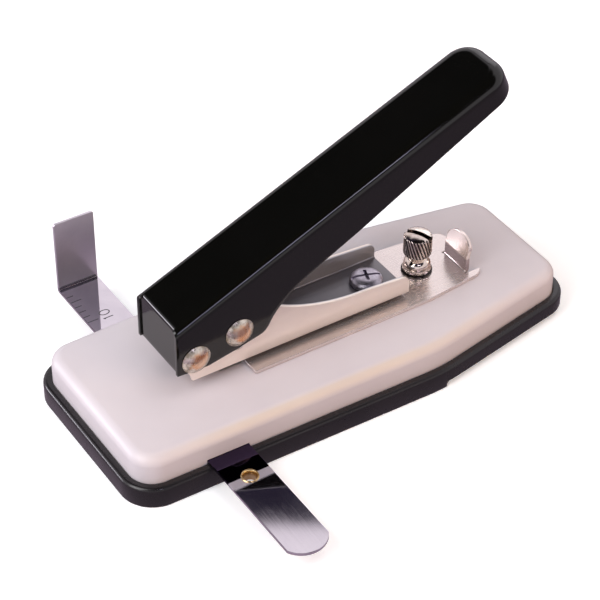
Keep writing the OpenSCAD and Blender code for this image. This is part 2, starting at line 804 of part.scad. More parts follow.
// The finger tab: a short upright foot and a half-round leaf that leans back
module finger_tab() {
    half = (finger_y[1] - finger_y[0]) / 2;
    mid = (finger_y[0] + finger_y[1]) / 2;
    fold_z = stop_bottom + finger_h + stop_t;
    lean = [sin(finger_lean), cos(finger_lean)];
    sheet = [stop_t / cos(finger_lean), 0];
    tip = [finger_x, fold_z] + finger_reach * lean;
    intersection() {
        translate([0, mid + half + 1, 0]) rotate([90, 0, 0]) linear_extrude(2 * half + 2)
            polygon([[finger_x, stop_bottom], [finger_x + stop_t, stop_bottom],
                     [finger_x + stop_t, fold_z], tip + sheet, tip, [finger_x, fold_z]]);
        translate([finger_x - 1, mid, 0]) rotate([90, 0, 90])
            linear_extrude(stop_rear_x - finger_x)
                polygon(concat([[-half, stop_bottom - 1], [half, stop_bottom - 1]],
                               [for (i = [0:16])
                                   [half * cos(180 * i / 16),
                                    tip.y - finger_crown + (finger_crown - 0.1) * sin(180 * i / 16)]]));
    }
}

// The thumb screw: a round foot, a waist and a knurled head with a screwdriver slot
thumb_foot = stop_top + seat_gap;
thumb_bell_h = 7.4;
thumb_h = 15.8;
thumb_slot_w = 2;
thumb_slot_depth = 2.4;
thumb_knurl_low = thumb_foot + thumb_bell_h;
thumb_top = thumb_foot + thumb_h;

module thumb_screw() {
    teeth = 26;
    color([0.78, 0.76, 0.77]) translate([thumb_x, 0, 0]) difference() {
        union() {
            rotate_extrude()
                polygon([[0, thumb_foot], [thumb_r + 0.3, thumb_foot],
                         [thumb_r + 0.3, thumb_foot + 0.9], [thumb_r - 0.4, thumb_foot + 1.2],
                         for (i = [0:6])
                             let (a = -40 + 130 * i / 6)
                             [thumb_r - 3.2 + 3 * cos(a), thumb_foot + 3.1 + 3 * sin(a)],
                         [thumb_r - 1.1, thumb_foot + 6.1],
                         [thumb_r - 0.8, thumb_knurl_low + 0.3], [0, thumb_knurl_low + 0.3]]);
            translate([0, 0, thumb_knurl_low])
                linear_extrude(thumb_top - thumb_knurl_low - 0.5, twist = 34, slices = 8)
                    polygon([for (i = [0:2 * teeth - 1])
                                let (r = i % 2 == 0 ? thumb_r : thumb_r - 0.45, a = 180 * i / teeth)
                                r * [cos(a), sin(a)]]);
            translate([0, 0, thumb_top - 0.5 - eps])
                cylinder(h = 0.5 + eps, r1 = thumb_r - 0.1, r2 = thumb_r - 0.6);
            post(0, 0, nut_top - nut_t - 1, thumb_foot + 1, thumb_shank_r);
        }
        rotate([0, 0, -62])
            translate([-thumb_r - 1, -thumb_slot_w / 2, thumb_top - thumb_slot_depth])
                cube([2 * thumb_r + 2, thumb_slot_w, thumb_slot_depth + 1]);
    }
}

module clamp_nut() {
    color([0.6, 0.58, 0.5]) difference() {
        prism(rectangle([thumb_x - nut_half.x, -nut_half.y], [thumb_x + nut_half.x, nut_half.y]),
              nut_top - nut_t, nut_top);
        post(thumb_x, 0, nut_top - nut_t - 1, nut_top + 1, thumb_shank_r + running_gap);
    }
}

// ---- guide strip ---------------------------------------------------------------

module guide_strip() {
    sag = strip_end_r - sqrt(strip_end_r * strip_end_r - strip_half * strip_half);
    sweep = asin(strip_half / strip_end_r);
    outline = concat([[strip_half, strip_tab_y - 1], [-strip_half, strip_tab_y - 1]],
                     [for (i = [0:12])
                         let (a = -90 - sweep + 2 * sweep * i / 12)
                         [strip_end_r * cos(a), strip_end_y + strip_end_r + strip_end_r * sin(a)]]);
    bend = strip_t + 0.15;
    tab_top = strip_top + tab_h;
    color([0.74, 0.72, 0.76]) difference() {
        union() {
            translate([strip_x, 0, 0]) prism(outline, strip_bottom, strip_top);
            // The tab and its bend, drawn across the strip
            translate([strip_x - strip_half, 0, 0]) rotate([90, 0, 90]) linear_extrude(strip_w)
                polygon(concat([[strip_tab_y - 2, strip_top], [strip_tab_y - 2, strip_bottom]],
                               corner_arc([0, strip_bottom], [strip_tab_y, strip_bottom],
                                          [strip_tab_y, tab_top], bend, 6),
                               [[strip_tab_y, tab_top], [strip_tab_y - strip_t, tab_top]],
                               corner_arc([strip_tab_y - strip_t, tab_top],
                                          [strip_tab_y - strip_t, strip_top], [0, strip_top],
                                          bend - strip_t, 4)));
        }
        post(strip_x, eyelet_y, strip_bottom - 1, strip_top + 1, eyelet_bore_r + 0.5 + seat_gap);
    }
}

// A brass eyelet that keeps the strip from being drawn right through the base
module stop_eyelet() {
    color([0.83, 0.62, 0.36]) translate([strip_x, eyelet_y, 0])
        rotate_extrude()
            polygon([[eyelet_bore_r, strip_bottom - eyelet_below],
                     [eyelet_r - 0.5, strip_bottom - eyelet_below],
                     [eyelet_r - 0.1, strip_bottom - seat_gap],
                     [eyelet_bore_r + 0.5, strip_bottom - seat_gap],
                     [eyelet_bore_r + 0.5, strip_top + seat_gap],
                     [eyelet_r, strip_top + seat_gap],
                     [eyelet_r - 0.15, strip_top + seat_gap + eyelet_rim * 0.7],
                     [eyelet_r - 0.5, strip_top + seat_gap + eyelet_rim],
                     [eyelet_bore_r + 0.25, strip_top + seat_gap + eyelet_rim * 0.9],
                     [eyelet_bore_r, strip_top + seat_gap + eyelet_rim * 0.4]]);
}

// The leaf spring that drags on the strip so that it stays where it is put
module strip_spring() {
    leaf_half = 5;
    tab_z = plate_inside_top - leaf_t;
    sag_z = strip_top + slide_gap;
    reach = spring_rivet_y + 4;
    knee = spring_rivet_y - 3.5;
    top_line = [[-reach, tab_z + leaf_t], [-knee, tab_z + leaf_t], [-3, sag_z + leaf_t],
                [3, sag_z + leaf_t], [knee, tab_z + leaf_t], [reach, tab_z + leaf_t]];
    low_line = [[reach, tab_z], [knee + 0.2, tab_z], [3.2, sag_z], [-3.2, sag_z],
                [-knee - 0.2, tab_z], [-reach, tab_z]];
    color([0.55, 0.56, 0.6]) difference() {
        translate([strip_x - leaf_half, 0, 0]) rotate([90, 0, 90]) linear_extrude(2 * leaf_half)
            polygon(concat([for (i = [5:-1:0]) top_line[i]], [for (i = [5:-1:0]) low_line[i]]));
        for (side = [-1, 1])
            post(strip_x, side * spring_rivet_y, tab_z - 1, tab_z + 2,
                 spring_rivet_r + running_gap);
    }
}

module spring_rivets() {
    color([0.7, 0.68, 0.66])
        for (side = [-1, 1]) {
            post(strip_x, side * spring_rivet_y, plate_inside_top - leaf_t - 1,
                 plate_inside_top - leaf_t - seat_gap, spring_rivet_r + 1);
            post(strip_x, side * spring_rivet_y, plate_inside_top - leaf_t - 1,
                 plate_inside_top + 1.8, spring_rivet_r);
        }
}

base_plate();
base_tray();
tray_screws();
rear_feet();
die_insert();
die_frame();
rear_spacer();
front_spacer();
frame_screws();
pivot_spacer();
pivot_rivet();
lever();
drive_rivet();
punch_ram();
punch_blade();
blade_pin();
return_springs();
stop_plate();
thumb_screw();
clamp_nut();
guide_strip();
stop_eyelet();
strip_spring();
spring_rivets();
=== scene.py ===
from math import pi, radians, cos, sin, tan, sqrt

import bmesh
import bpy
import numpy as np
from mathutils import Matrix, Vector


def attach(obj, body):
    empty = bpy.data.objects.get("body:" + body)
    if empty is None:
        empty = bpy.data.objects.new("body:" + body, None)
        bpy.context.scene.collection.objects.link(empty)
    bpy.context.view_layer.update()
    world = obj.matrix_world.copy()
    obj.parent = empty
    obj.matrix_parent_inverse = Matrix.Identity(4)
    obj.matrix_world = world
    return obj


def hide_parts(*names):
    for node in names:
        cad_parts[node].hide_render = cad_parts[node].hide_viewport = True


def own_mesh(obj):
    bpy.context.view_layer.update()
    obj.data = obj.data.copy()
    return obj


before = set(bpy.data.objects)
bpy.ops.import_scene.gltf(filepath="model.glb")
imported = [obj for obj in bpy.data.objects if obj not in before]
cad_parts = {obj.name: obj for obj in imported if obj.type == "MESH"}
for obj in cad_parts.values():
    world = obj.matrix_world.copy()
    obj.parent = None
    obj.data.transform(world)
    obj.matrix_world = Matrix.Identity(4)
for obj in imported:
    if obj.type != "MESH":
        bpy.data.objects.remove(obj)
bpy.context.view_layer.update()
MM = 0.001

# ---- Table top, light and camera -----------------------------------------------------
# A white table in a light tent: a broad lamp from the left, weaker ones from above, behind
# and the right, a warm card low in front, and dark patches overhead that only gloss sees.

def node_tree(owner):
    """The empty node tree of a material or world, with its output node."""
    owner.use_nodes = True
    tree = owner.node_tree
    tree.nodes.clear()
    kind = "ShaderNodeOutputWorld" if isinstance(owner, bpy.types.World) else "ShaderNodeOutputMaterial"
    return tree, tree.nodes.new(kind)


def join(output, socket):
    """Joins an output to an input of the same tree."""
    output.id_data.links.new(output, socket)


def put(value, socket):
    """Gives an input its value: a plain one, or the output to join it to."""
    if isinstance(value, bpy.types.NodeSocket):
        join(value, socket)
    else:
        socket.default_value = value


def add(tree, kind, **settings):
    """One new node: its settings, then its inputs by name, each a value or an output."""
    node = tree.nodes.new(kind)
    for key, value in settings.items():
        if key in node.bl_rna.properties:
            setattr(node, key, value)
        else:
            put(value, node.inputs[key.replace("_", " ")])
    return node


def maths(operation, *values):
    """One Math node; each of its inputs is a number or the output of another node."""
    tree = next(v.id_data for v in values if isinstance(v, bpy.types.NodeSocket))
    node = add(tree, "ShaderNodeMath", operation=operation)
    for socket, value in zip(node.inputs, values):
        put(value, socket)
    return node.outputs[0]


def spread(value, low, high, start=0.3, end=0.7, way="LINEAR"):
    """Maps a changing value from start..end to low..high, evenly or with soft ends."""
    return add(value.id_data, "ShaderNodeMapRange", interpolation_type=way, Value=value,
               From_Min=start, From_Max=end, To_Min=low, To_Max=high).outputs[0]


def pick(share, first, second):
    """One of two shaders, by a share of 0 or 1."""
    node = add(share.id_data, "ShaderNodeMixShader", Fac=share)
    join(first.outputs[0], node.inputs[1])
    join(second.outputs[0], node.inputs[2])
    return node


world = bpy.data.worlds.new("light_tent")
bpy.context.scene.world = world
tree, out = node_tree(world)
rays = add(tree, "ShaderNodeLightPath").outputs
direction = add(tree, "ShaderNodeTexCoord").outputs["Generated"]
axes = add(tree, "ShaderNodeSeparateXYZ", Vector=direction).outputs

# What only gloss sees: a pale tent with a dark beam between soft limits of Z and X, and three
# dark patches, each a direction with the degrees at which it ends and at which it is full
BEAM = (("Z", 0.680, 0.686), ("Z", 0.7165, 0.7105), ("X", 0.27, 0.29), ("X", 0.46, 0.44))
PATCHES = (((-0.12, 0.665, 0.735), 19, 10), ((-0.14, 0.17, 0.97), 33, 22),
           ((-0.17, -0.45, 0.88), 46, 34))
darkness = 1.0
for axis, start, end in BEAM:
    darkness = maths("MULTIPLY", darkness, spread(axes[axis], 0, 1, start, end, "SMOOTHSTEP"))
for centre, outer, inner in PATCHES:
    toward = add(tree, "ShaderNodeVectorMath", operation="DOT_PRODUCT")
    put(direction, toward.inputs[0])
    put(Vector(centre).normalized(), toward.inputs[1])
    ends = cos(radians(outer)), cos(radians(inner))
    patch = spread(toward.outputs["Value"], 0, 1, *ends, "SMOOTHSTEP")
    darkness = maths("MAXIMUM", darkness, patch)
ceiling = add(tree, "ShaderNodeValToRGB", Fac=darkness)
ceiling.color_ramp.elements[0].color = (0.88, 0.83, 0.88, 1)
ceiling.color_ramp.elements[1].color = (0.020, 0.017, 0.030, 1)
ambient = add(tree, "ShaderNodeBackground", Color=(0.95, 0.94, 0.96, 1), Strength=0.42)
mirrored = add(tree, "ShaderNodeBackground", Color=ceiling.outputs[0], Strength=1.0)
white = add(tree, "ShaderNodeBackground", Color=(1, 1, 1, 1), Strength=1.0)
lit = pick(rays["Is Glossy Ray"], ambient, mirrored)
join(pick(rays["Is Camera Ray"], lit, white).outputs[0], out.inputs[0])


def lamp(name, place, aim, size, watts, colour, mirrored=True):
    """An oblong soft lamp at a place, turned to shine at a point, seen in gloss or not."""
    data = bpy.data.lights.new(name, "AREA")
    data.shape, data.size, data.size_y = "RECTANGLE", size[0], size[1]
    data.energy, data.color = watts, colour
    made = bpy.data.objects.new(name, data)
    made.location = place
    made.rotation_euler = (Vector(aim) - Vector(place)).to_track_quat("-Z", "Y").to_euler()
    made.visible_glossy = mirrored
    bpy.context.scene.collection.objects.link(made)


lamp("left_softbox", (-0.75, -0.10, 0.62), (0, 0, 0.02), (0.55, 0.75), 6.6, (1.0, 0.985, 1.0))
lamp("top_softbox", (0.10, -0.25, 0.95), (0, 0, 0.02), (0.50, 0.40), 1.8, (0.98, 0.97, 1.0), False)
lamp("right_softbox", (0.62, 0.55, 0.50), (0, 0, 0.02), (0.45, 0.45), 0.4, (0.98, 0.96, 1.0))
lamp("warm_card", (0.36, -0.78, 0.40), (0.02, 0, 0.02), (0.60, 0.22), 2.9, (1.0, 0.60, 0.32), False)
lamp("edge_strip", (-0.14, -0.77, 0.68), (0, 0, 0.05), (0.34, 0.06), 0.8, (0.82, 0.78, 1.0))
lamp("back_strip", (-0.80, 0.70, 0.20), (-0.05, 0, 0.04), (0.42, 0.18), 3.6, (0.93, 0.90, 1.0))

floor_mesh = bpy.data.meshes.new("table_top")
floor_mesh.from_pydata([(-3, -3, 0), (3, -3, 0), (3, 3, 0), (-3, 3, 0)], [], [(0, 1, 2, 3)])
table_top = bpy.data.objects.new("table_top", floor_mesh)
bpy.context.scene.collection.objects.link(table_top)
card = bpy.data.materials.new("white_card")
tree, out = node_tree(card)
rays = add(tree, "ShaderNodeLightPath").outputs
paper = add(tree, "ShaderNodeBsdfDiffuse", Color=(0.93, 0.93, 0.93, 1))
lift = add(tree, "ShaderNodeEmission", Color=(1, 1, 1, 1), Strength=0.30)
both = add(tree, "ShaderNodeAddShader")
join(paper.outputs[0], both.inputs[0])
join(lift.outputs[0], both.inputs[1])
# Gloss sees the table as a pink-white glow, brighter towards its left end: a painted reflection
bounce = add(tree, "ShaderNodeBsdfDiffuse", Color=(0.50, 0.48, 0.50, 1))
where = add(tree, "ShaderNodeTexCoord").outputs["Object"]
across_table = add(tree, "ShaderNodeSeparateXYZ", Vector=where).outputs["X"]
mirrored = add(tree, "ShaderNodeEmission", Color=(1.0, 0.80, 1.0, 1),
               Strength=spread(across_table, 0.60, 0.30, -0.15, -0.06))
seen = pick(rays["Is Camera Ray"], bounce, both)
join(pick(rays["Is Glossy Ray"], seen, mirrored).outputs[0], out.inputs[0])
floor_mesh.materials.append(card)

# The camera, as fitted to the photograph: its directions, its place in metres and its lens
azimuth, height, roll = radians(-33.1), radians(39.62), radians(0.49)
CAMERA_PLACE = (-0.3113, -0.4687, 0.4884)
back = Vector((sin(azimuth) * cos(height), -cos(azimuth) * cos(height), sin(height)))
right = Vector((cos(azimuth), sin(azimuth), 0))
up = back.cross(right)
cam_x = right * cos(roll) + up * sin(roll)
cam_y = up * cos(roll) - right * sin(roll)
IMAGE_W, FOCAL_PX, SENSOR = 600, 2130, 36
camera_data = bpy.data.cameras.new("camera")
camera_data.sensor_width = SENSOR
camera_data.lens = FOCAL_PX / IMAGE_W * SENSOR
camera_data.shift_x, camera_data.shift_y = -1.3 / IMAGE_W, 4.2 / IMAGE_W
camera = bpy.data.objects.new("camera", camera_data)
turn = Matrix((cam_x, cam_y, back)).transposed().to_4x4()
camera.matrix_world = Matrix.Translation(CAMERA_PLACE) @ turn
bpy.context.scene.collection.objects.link(camera)
bpy.context.scene.camera = camera
bpy.context.scene.view_settings.view_transform = "Standard"

# ---- Base plate ----------------------------------------------------------------------
# A hollow zinc casting with softly rounded upper edges, finished in a pale warm-grey
# satin enamel. It stands inside the tray's rim and carries everything above it.

def make_object(name, verts, faces, keep_smooth=30, weld=1e-6, outwards=True):
    """A mesh object from points in millimetres and faces, welded and turned outwards.

    Faces meeting at less than keep_smooth degrees are shaded as one curved surface. A weld
    distance of 0 leaves points and faces as they are given.
    """
    mesh = bpy.data.meshes.new(name)
    mesh.from_pydata(np.asarray(verts) * MM, [], faces)
    made = bpy.data.objects.new(name, mesh)
    bpy.context.scene.collection.objects.link(made)
    if weld:
        work = bmesh.new()
        work.from_mesh(mesh)
        bmesh.ops.remove_doubles(work, verts=work.verts, dist=weld)
        bmesh.ops.dissolve_degenerate(work, dist=1e-7, edges=work.edges)
        if outwards:
            bmesh.ops.recalc_face_normals(work, faces=work.faces)
        work.to_mesh(mesh)
        work.free()
    smooth(made, keep_smooth)
    return made


def smooth(made, degrees):
    """Shades a piece smooth apart from edges sharper than that many degrees."""
    mesh = made.data
    mesh.polygons.foreach_set("use_smooth", np.ones(len(mesh.polygons), bool))
    mesh.set_sharp_from_angle(angle=radians(degrees))
    mesh.update()


def grid_faces(rows, cols, loop_cols=False, start=0):
    """Quads of a grid of rows x cols points, numbered along each row, the rows closed or open."""
    r = np.arange(rows - 1)[:, None]
    c = np.arange(cols if loop_cols else cols - 1)[None, :]
    a, b = r * cols + c, r * cols + (c + 1) % cols
    return (np.stack([a, b, b + cols, a + cols], -1).reshape(-1, 4) + start).tolist()


def arc(centre, radius, first, last, count):
    """Points on an arc in the plane, by centre, radius and first and last degrees."""
    a = np.radians(np.linspace(first, last, count))
    return np.array(centre) + radius * np.stack([np.cos(a), np.sin(a)], 1)


def unit(v):
    """A vector of length one."""
    return v / np.linalg.norm(v)


def corner_arcs(corners, count):
    """Points and outward normals of each corner (x, y, radius) of a closed outline.

    A corner is an arc that touches both of its sides; one of radius 0 is a single point.
    """
    corner = np.array(corners, float)
    spots, normals = [], []
    for i in range(len(corner)):
        p, r = corner[i, :2], corner[i, 2]
        a, b = unit(corner[i - 1, :2] - p), unit(corner[(i + 1) % len(corner), :2] - p)
        half = np.arccos(a @ b) / 2
        centre = p + unit(a + b) * r / np.sin(half)
        first, last = p + a * r / np.tan(half) - centre, p + b * r / np.tan(half) - centre
        start = np.arctan2(first[1], first[0])
        swing = (np.arctan2(last[1], last[0]) - start + 3 * pi) % (2 * pi) - pi
        angle = start + swing * np.linspace(0, 1, count)
        out = np.stack([np.cos(angle), np.sin(angle)], 1)
        spots.append(centre + r * out if r else p[None])
        normals.append(out)
    return spots, normals


def plan_path(corners, arc_points=20, side_points=24):
    """Points and outward normals along a closed plan with rounded corners.

    The points of the straight sides share the normal of the arc's end.
    """
    spots, normals = corner_arcs(corners, arc_points)
    full_spots, full_normals = [], []
    for i in range(len(corners)):
        end, begin = spots[i][-1], spots[(i + 1) % len(corners)][0]
        t = np.linspace(0, 1, side_points + 2)[1:-1, None]
        full_spots += [spots[i], end + (begin - end) * t]
        full_normals += [normals[i], np.repeat(normals[i][-1:], side_points, 0)]
    return np.concatenate(full_spots), np.concatenate(full_normals)


PLATE_PLAN = [(-88, -34, 9), (28, -36, 70), (88, -25, 9), (88, 25, 9), (28, 36, 70), (-88, 34, 9)]
PLATE_TOP, PLATE_FOOT, PLATE_SKIN, PLATE_WALL, PLATE_EDGE = 18.4, 5.0, 4.0, 3.0, 4.0


def ring_shell(name, plan, profile):
    """A closed body: a profile of (offset, height) carried round a plan, capped by fans.

    A point of the body is plan point + offset x plan normal, at the profile's height.
    """
    spots, normals = plan_path(plan)
    prof = np.array(profile, float)
    plane = spots[None] + prof[:, 0, None, None] * normals[None]
    height = np.broadcast_to(prof[:, 1, None, None], plane.shape[:2] + (1,))
    body = np.concatenate([plane, height], -1).reshape(-1, 3)
    rows, cols = len(prof), len(spots)
    faces = grid_faces(rows, cols, loop_cols=True)
    hubs = np.array([[0, 0, prof[0, 1]], [0, 0, prof[-1, 1]]])
    ring = np.arange(cols)
    nxt = (ring + 1) % cols
    last = (rows - 1) * cols
    faces += np.stack([nxt, ring, np.full(cols, rows * cols)], 1).tolist()
    faces += np.stack([last + ring, last + nxt, np.full(cols, rows * cols + 1)], 1).tolist()
    return make_object(name, np.concatenate([body, hubs]), faces)


def block(low, high):
    """A plain cutter box between two corners, for carving only."""
    x, y, z = zip(low, high)
    corners = [(x[i], y[j], z[k]) for i in (0, 1) for j in (0, 1) for k in (0, 1)]
    faces = [(0, 1, 3, 2), (4, 6, 7, 5), (0, 4, 5, 1), (2, 3, 7, 6), (0, 2, 6, 4), (1, 5, 7, 3)]
    return make_object("cutter", corners, faces)


def carve(target, *cutters, keep_smooth=30):
    """Takes cutter bodies out of a piece and leaves a plain mesh."""
    for cutter in cutters:
        cut = target.modifiers.new("cut", "BOOLEAN")
        cut.operation, cut.solver, cut.object = "DIFFERENCE", "EXACT", cutter
    solved = target.evaluated_get(bpy.context.evaluated_depsgraph_get())
    carved = bpy.data.meshes.new_from_object(solved)
    target.modifiers.clear()
    old = target.data
    target.data = carved
    bpy.data.meshes.remove(old)
    for cutter in cutters:
        bpy.data.meshes.remove(cutter.data)
    smooth(target, keep_smooth)


profile = [(-PLATE_WALL, PLATE_TOP - PLATE_SKIN), (-PLATE_WALL, PLATE_FOOT), (-0.4, PLATE_FOOT),
           (0, PLATE_FOOT + 0.4), (0, PLATE_TOP - PLATE_EDGE)]
profile += arc((-PLATE_EDGE, PLATE_TOP - PLATE_EDGE), PLATE_EDGE, 7, 90, 13).tolist()
base_plate = ring_shell("cast_base", PLATE_PLAN, profile)
STRIP_WAY = ((-64.05, -50, 3), (-48.15, 50, 9.5))
LONG_SLOT = ((39.3, -2.8, 10), (58.9, 2.8, 30))
DIE_POCKET = ((-43.25, -8.15, 12.35), (-33.15, 8.15, 30))
CHIP_WAY = ((-39.9, -8.2, 8), (-36.5, 8.2, 13))
carve(base_plate, *(block(*corners) for corners in (STRIP_WAY, LONG_SLOT, DIE_POCKET, CHIP_WAY)))
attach(base_plate, "base")
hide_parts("base_plate")


def effect(name, inputs, outputs):
    """A new node group with named float or vector inputs and outputs."""
    group = bpy.data.node_groups.new(name, "ShaderNodeTree")
    for socket, kind, value in inputs:
        made = group.interface.new_socket(socket, in_out="INPUT", socket_type="NodeSocket" + kind)
        if value is not None:
            made.default_value = value
    for socket, kind in outputs:
        group.interface.new_socket(socket, in_out="OUTPUT", socket_type="NodeSocket" + kind)
    ins, outs = group.nodes.new("NodeGroupInput"), group.nodes.new("NodeGroupOutput")
    return group, ins.outputs, outs.inputs


def noise(space, scale, detail=2.0, rough=0.5, warp=0.0):
    """A noise value over a space; its scale is a number or an output."""
    return add(space.id_data, "ShaderNodeTexNoise", Vector=space, Scale=scale, Detail=detail,
               Roughness=rough, Distortion=warp).outputs[0]


# Orange peel and slow waviness of a sprayed or stoved coat, with faint handling marks
COAT, ins, outs = effect("sprayed_coat",
                         [("Vector", "Vector", None), ("Peel Scale", "Float", 900.0),
                          ("Wave Scale", "Float", 30.0), ("Smear Scale", "Float", 60.0)],
                         [("Height", "Float"), ("Tone", "Float"), ("Smear", "Float")])
wave = noise(ins["Vector"], ins["Wave Scale"], 3.0, 0.55)
peel = noise(ins["Vector"], ins["Peel Scale"])
join(maths("MULTIPLY_ADD", peel, 0.35, wave), outs["Height"])
join(wave, outs["Tone"])
join(noise(ins["Vector"], ins["Smear Scale"], 6.0, 0.62, 1.2), outs["Smear"])


def finish_of(name, **sockets):
    """A new material with one Principled shader, its fixed sockets set, and its texture space."""
    material = bpy.data.materials.new(name)
    tree, out = node_tree(material)
    shader = add(tree, "ShaderNodeBsdfPrincipled", **sockets)
    join(shader.outputs[0], out.inputs[0])
    return material, tree, shader, add(tree, "ShaderNodeTexCoord").outputs["Object"]


def tint(value, first, last, start=0.3, end=0.7):
    """A colour that runs from first to last as a value goes from start to end."""
    ramp = add(value.id_data, "ShaderNodeValToRGB", Fac=value)
    for stop, place, colour in zip(ramp.color_ramp.elements, (start, end), (first, last)):
        stop.position, stop.color = place, (*colour, 1)
    return ramp.outputs[0]


def bump(shader, value, height):
    """Raises the surface by a changing height, in metres."""
    node = add(shader.id_data, "ShaderNodeBump", Distance=height, Height=value)
    join(node.outputs[0], shader.inputs["Normal"])


def coated(name, first, last, rough, peel_scale, height, **sockets):
    """A sprayed finish: colour, roughness and bump all come from the coat's own pattern."""
    material, tree, shader, space = finish_of(name, **sockets)
    coat = add(tree, "ShaderNodeGroup", node_tree=COAT, Peel_Scale=peel_scale, Vector=space).outputs
    join(tint(coat["Tone"], first, last), shader.inputs["Base Color"])
    join(spread(coat["Smear"], *rough), shader.inputs["Roughness"])
    bump(shader, coat["Height"], height)
    return material


def reopen(material):
    """A finish taken up again: its shader and the axes of its object coordinates."""
    tree = material.node_tree
    shader = next(n for n in tree.nodes if n.type == "BSDF_PRINCIPLED")
    space = add(tree, "ShaderNodeTexCoord").outputs["Object"]
    return shader, add(tree, "ShaderNodeSeparateXYZ", Vector=space).outputs


def lay_over(shader, share, colour, way="MULTIPLY"):
    """Lays a colour over a shader's base colour by a changing share, multiplied or mixed in."""
    base = shader.inputs["Base Color"]
    layer = add(shader.id_data, "ShaderNodeMix", data_type="RGBA", blend_type=way,
                Factor=share, A=base.links[0].from_socket, B=colour)
    join(layer.outputs["Result"], base)


def paint(piece, material):
    """Gives a piece its one finish."""
    piece.data.materials.clear()
    piece.data.materials.append(material)


enamel = coated("plate_enamel", (0.615, 0.560, 0.585), (0.655, 0.600, 0.622), (0.34, 0.44),
                1100, 0.00006)
# Painted highlight: a warm sheen is painted into the enamel's colour along the near upper rounding, weaker
# towards both ends
shader, axes = reopen(enamel)
share = spread(axes["Z"], 0, 1, 0.0146, 0.0168)
for axis, low, high, start, end in (("Z", 1, 0, 0.0178, 0.01838), ("Y", 1, 0, -0.030, -0.024),
                                    ("X", 0, 1, -0.088, -0.050), ("X", 1, 0.25, 0.010, 0.060)):
    share = maths("MULTIPLY", share, spread(axes[axis], low, high, start, end))
lay_over(shader, share, (0.99, 0.93, 0.79, 1))
paint(base_plate, enamel)

# ---- Tray ----------------------------------------------------------------------------
# A black moulded tray that closes the base from below and catches the chips. Its round
# rim shows all the way round; the floor is higher behind the bend, on two rubber feet.

RIM_W, RIM_TOP, TRAY_FLOOR, REAR_STEP, STEP_X = 3.3, 8.2, 1.6, 2.6, 29.0
profile = [(RIM_W - 0.7, 0), (RIM_W - 0.2, 0.2), (RIM_W, 0.7), (RIM_W, RIM_TOP - 1.5)]
profile += arc((RIM_W - 1.5, RIM_TOP - 1.5), 1.5, 10, 90, 9).tolist()
profile += arc((0.65, RIM_TOP - 0.5), 0.5, 90, 180, 6).tolist()
profile += [(0.15, PLATE_FOOT - 0.05)]
base_tray = ring_shell("black_tray", PLATE_PLAN, profile)
STEP_R, CLEAR = 1.2, 120
step_arc = arc((STEP_X + STEP_R, REAR_STEP - STEP_R), STEP_R, 180, 90, 8)
x, z = np.concatenate([[[STEP_X, -5]], step_arc, [[CLEAR, REAR_STEP], [CLEAR, -5]]]).T
count = len(x)
ends = [np.stack([x, np.full(count, y), z], 1) for y in (-60, 60)]
caps = [list(range(count)), list(range(count, 2 * count))]
step_cut = make_object("cutter", np.concatenate(ends), grid_faces(2, count, loop_cols=True) + caps)
FRONT_POCKET = ((-83, -29, TRAY_FLOOR), (-67, 29, 6))
CHIP_POCKET = ((-45, -29, TRAY_FLOOR), (26.6, 29, 6))
REAR_POCKET = ((26.5, -20, REAR_STEP + TRAY_FLOOR), (80, 20, 6))
carve(base_tray, step_cut, *(block(*corners) for corners in (FRONT_POCKET, CHIP_POCKET, REAR_POCKET)))
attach(base_tray, "base")
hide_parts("base_tray")
plastic = coated("black_plastic", (0.006, 0.0050, 0.0058), (0.011, 0.0090, 0.0100), (0.20, 0.34),
                 1500, 0.00003)
paint(base_tray, plastic)

# ---- Rubber feet and the tray's screws -----------------------------------------------
# Two round rubber feet carry the raised rear floor, and four zinc-plated screws hold the
# tray up against the plate's bosses. They keep their solid shapes.

GRAIN, ins, outs = effect("drawn_grain",
                          [("Vector", "Vector", None), ("Stretch", "Vector", (40.0, 3000.0, 3000.0)),
                           ("Blotch Scale", "Float", 70.0)],
                          [("Line", "Float"), ("Blotch", "Float")])
pull = add(GRAIN, "ShaderNodeVectorMath", operation="MULTIPLY")
join(ins["Vector"], pull.inputs[0])
join(ins["Stretch"], pull.inputs[1])
join(noise(pull.outputs[0], 1.0, 5.0, 0.6), outs["Line"])
join(noise(ins["Vector"], ins["Blotch Scale"], 5.0, 0.6, 0.8), outs["Blotch"])


def plated(name, first, last, rough, stretch, blotch_scale, height, metallic=1.0):
    """A metal whose tone, roughness and fine relief follow its drawn or brushed grain."""
    material, tree, shader, space = finish_of(name, Metallic=metallic)
    grain = add(tree, "ShaderNodeGroup", node_tree=GRAIN, Vector=space, Stretch=stretch,
                Blotch_Scale=blotch_scale).outputs
    join(tint(grain["Blotch"], first, last), shader.inputs["Base Color"])
    mixed = maths("MULTIPLY_ADD", grain["Line"], 0.5, maths("MULTIPLY", grain["Blotch"], 0.5))
    join(spread(mixed, *rough), shader.inputs["Roughness"])
    bump(shader, grain["Line"], height)
    return material


def dress(node, material):
    """Gives a CAD node's own object a finish."""
    paint(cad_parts[node], material)


rubber = coated("black_rubber", (0.012, 0.012, 0.012), (0.022, 0.021, 0.020), (0.62, 0.80),
                2600, 0.00008)
zinc = plated("zinc_screw", (0.50, 0.49, 0.48), (0.60, 0.58, 0.56), (0.30, 0.44),
              (900, 900, 900), 300, 0.00002)
dress("rear_feet", rubber)
dress("tray_screws", zinc)

# ---- Die and spacers -----------------------------------------------------------------
# The hardened die is let into the base under the punch; two plain steel blocks hold the
# frame the height of the card throat above the base. All are ground or sawn bar.

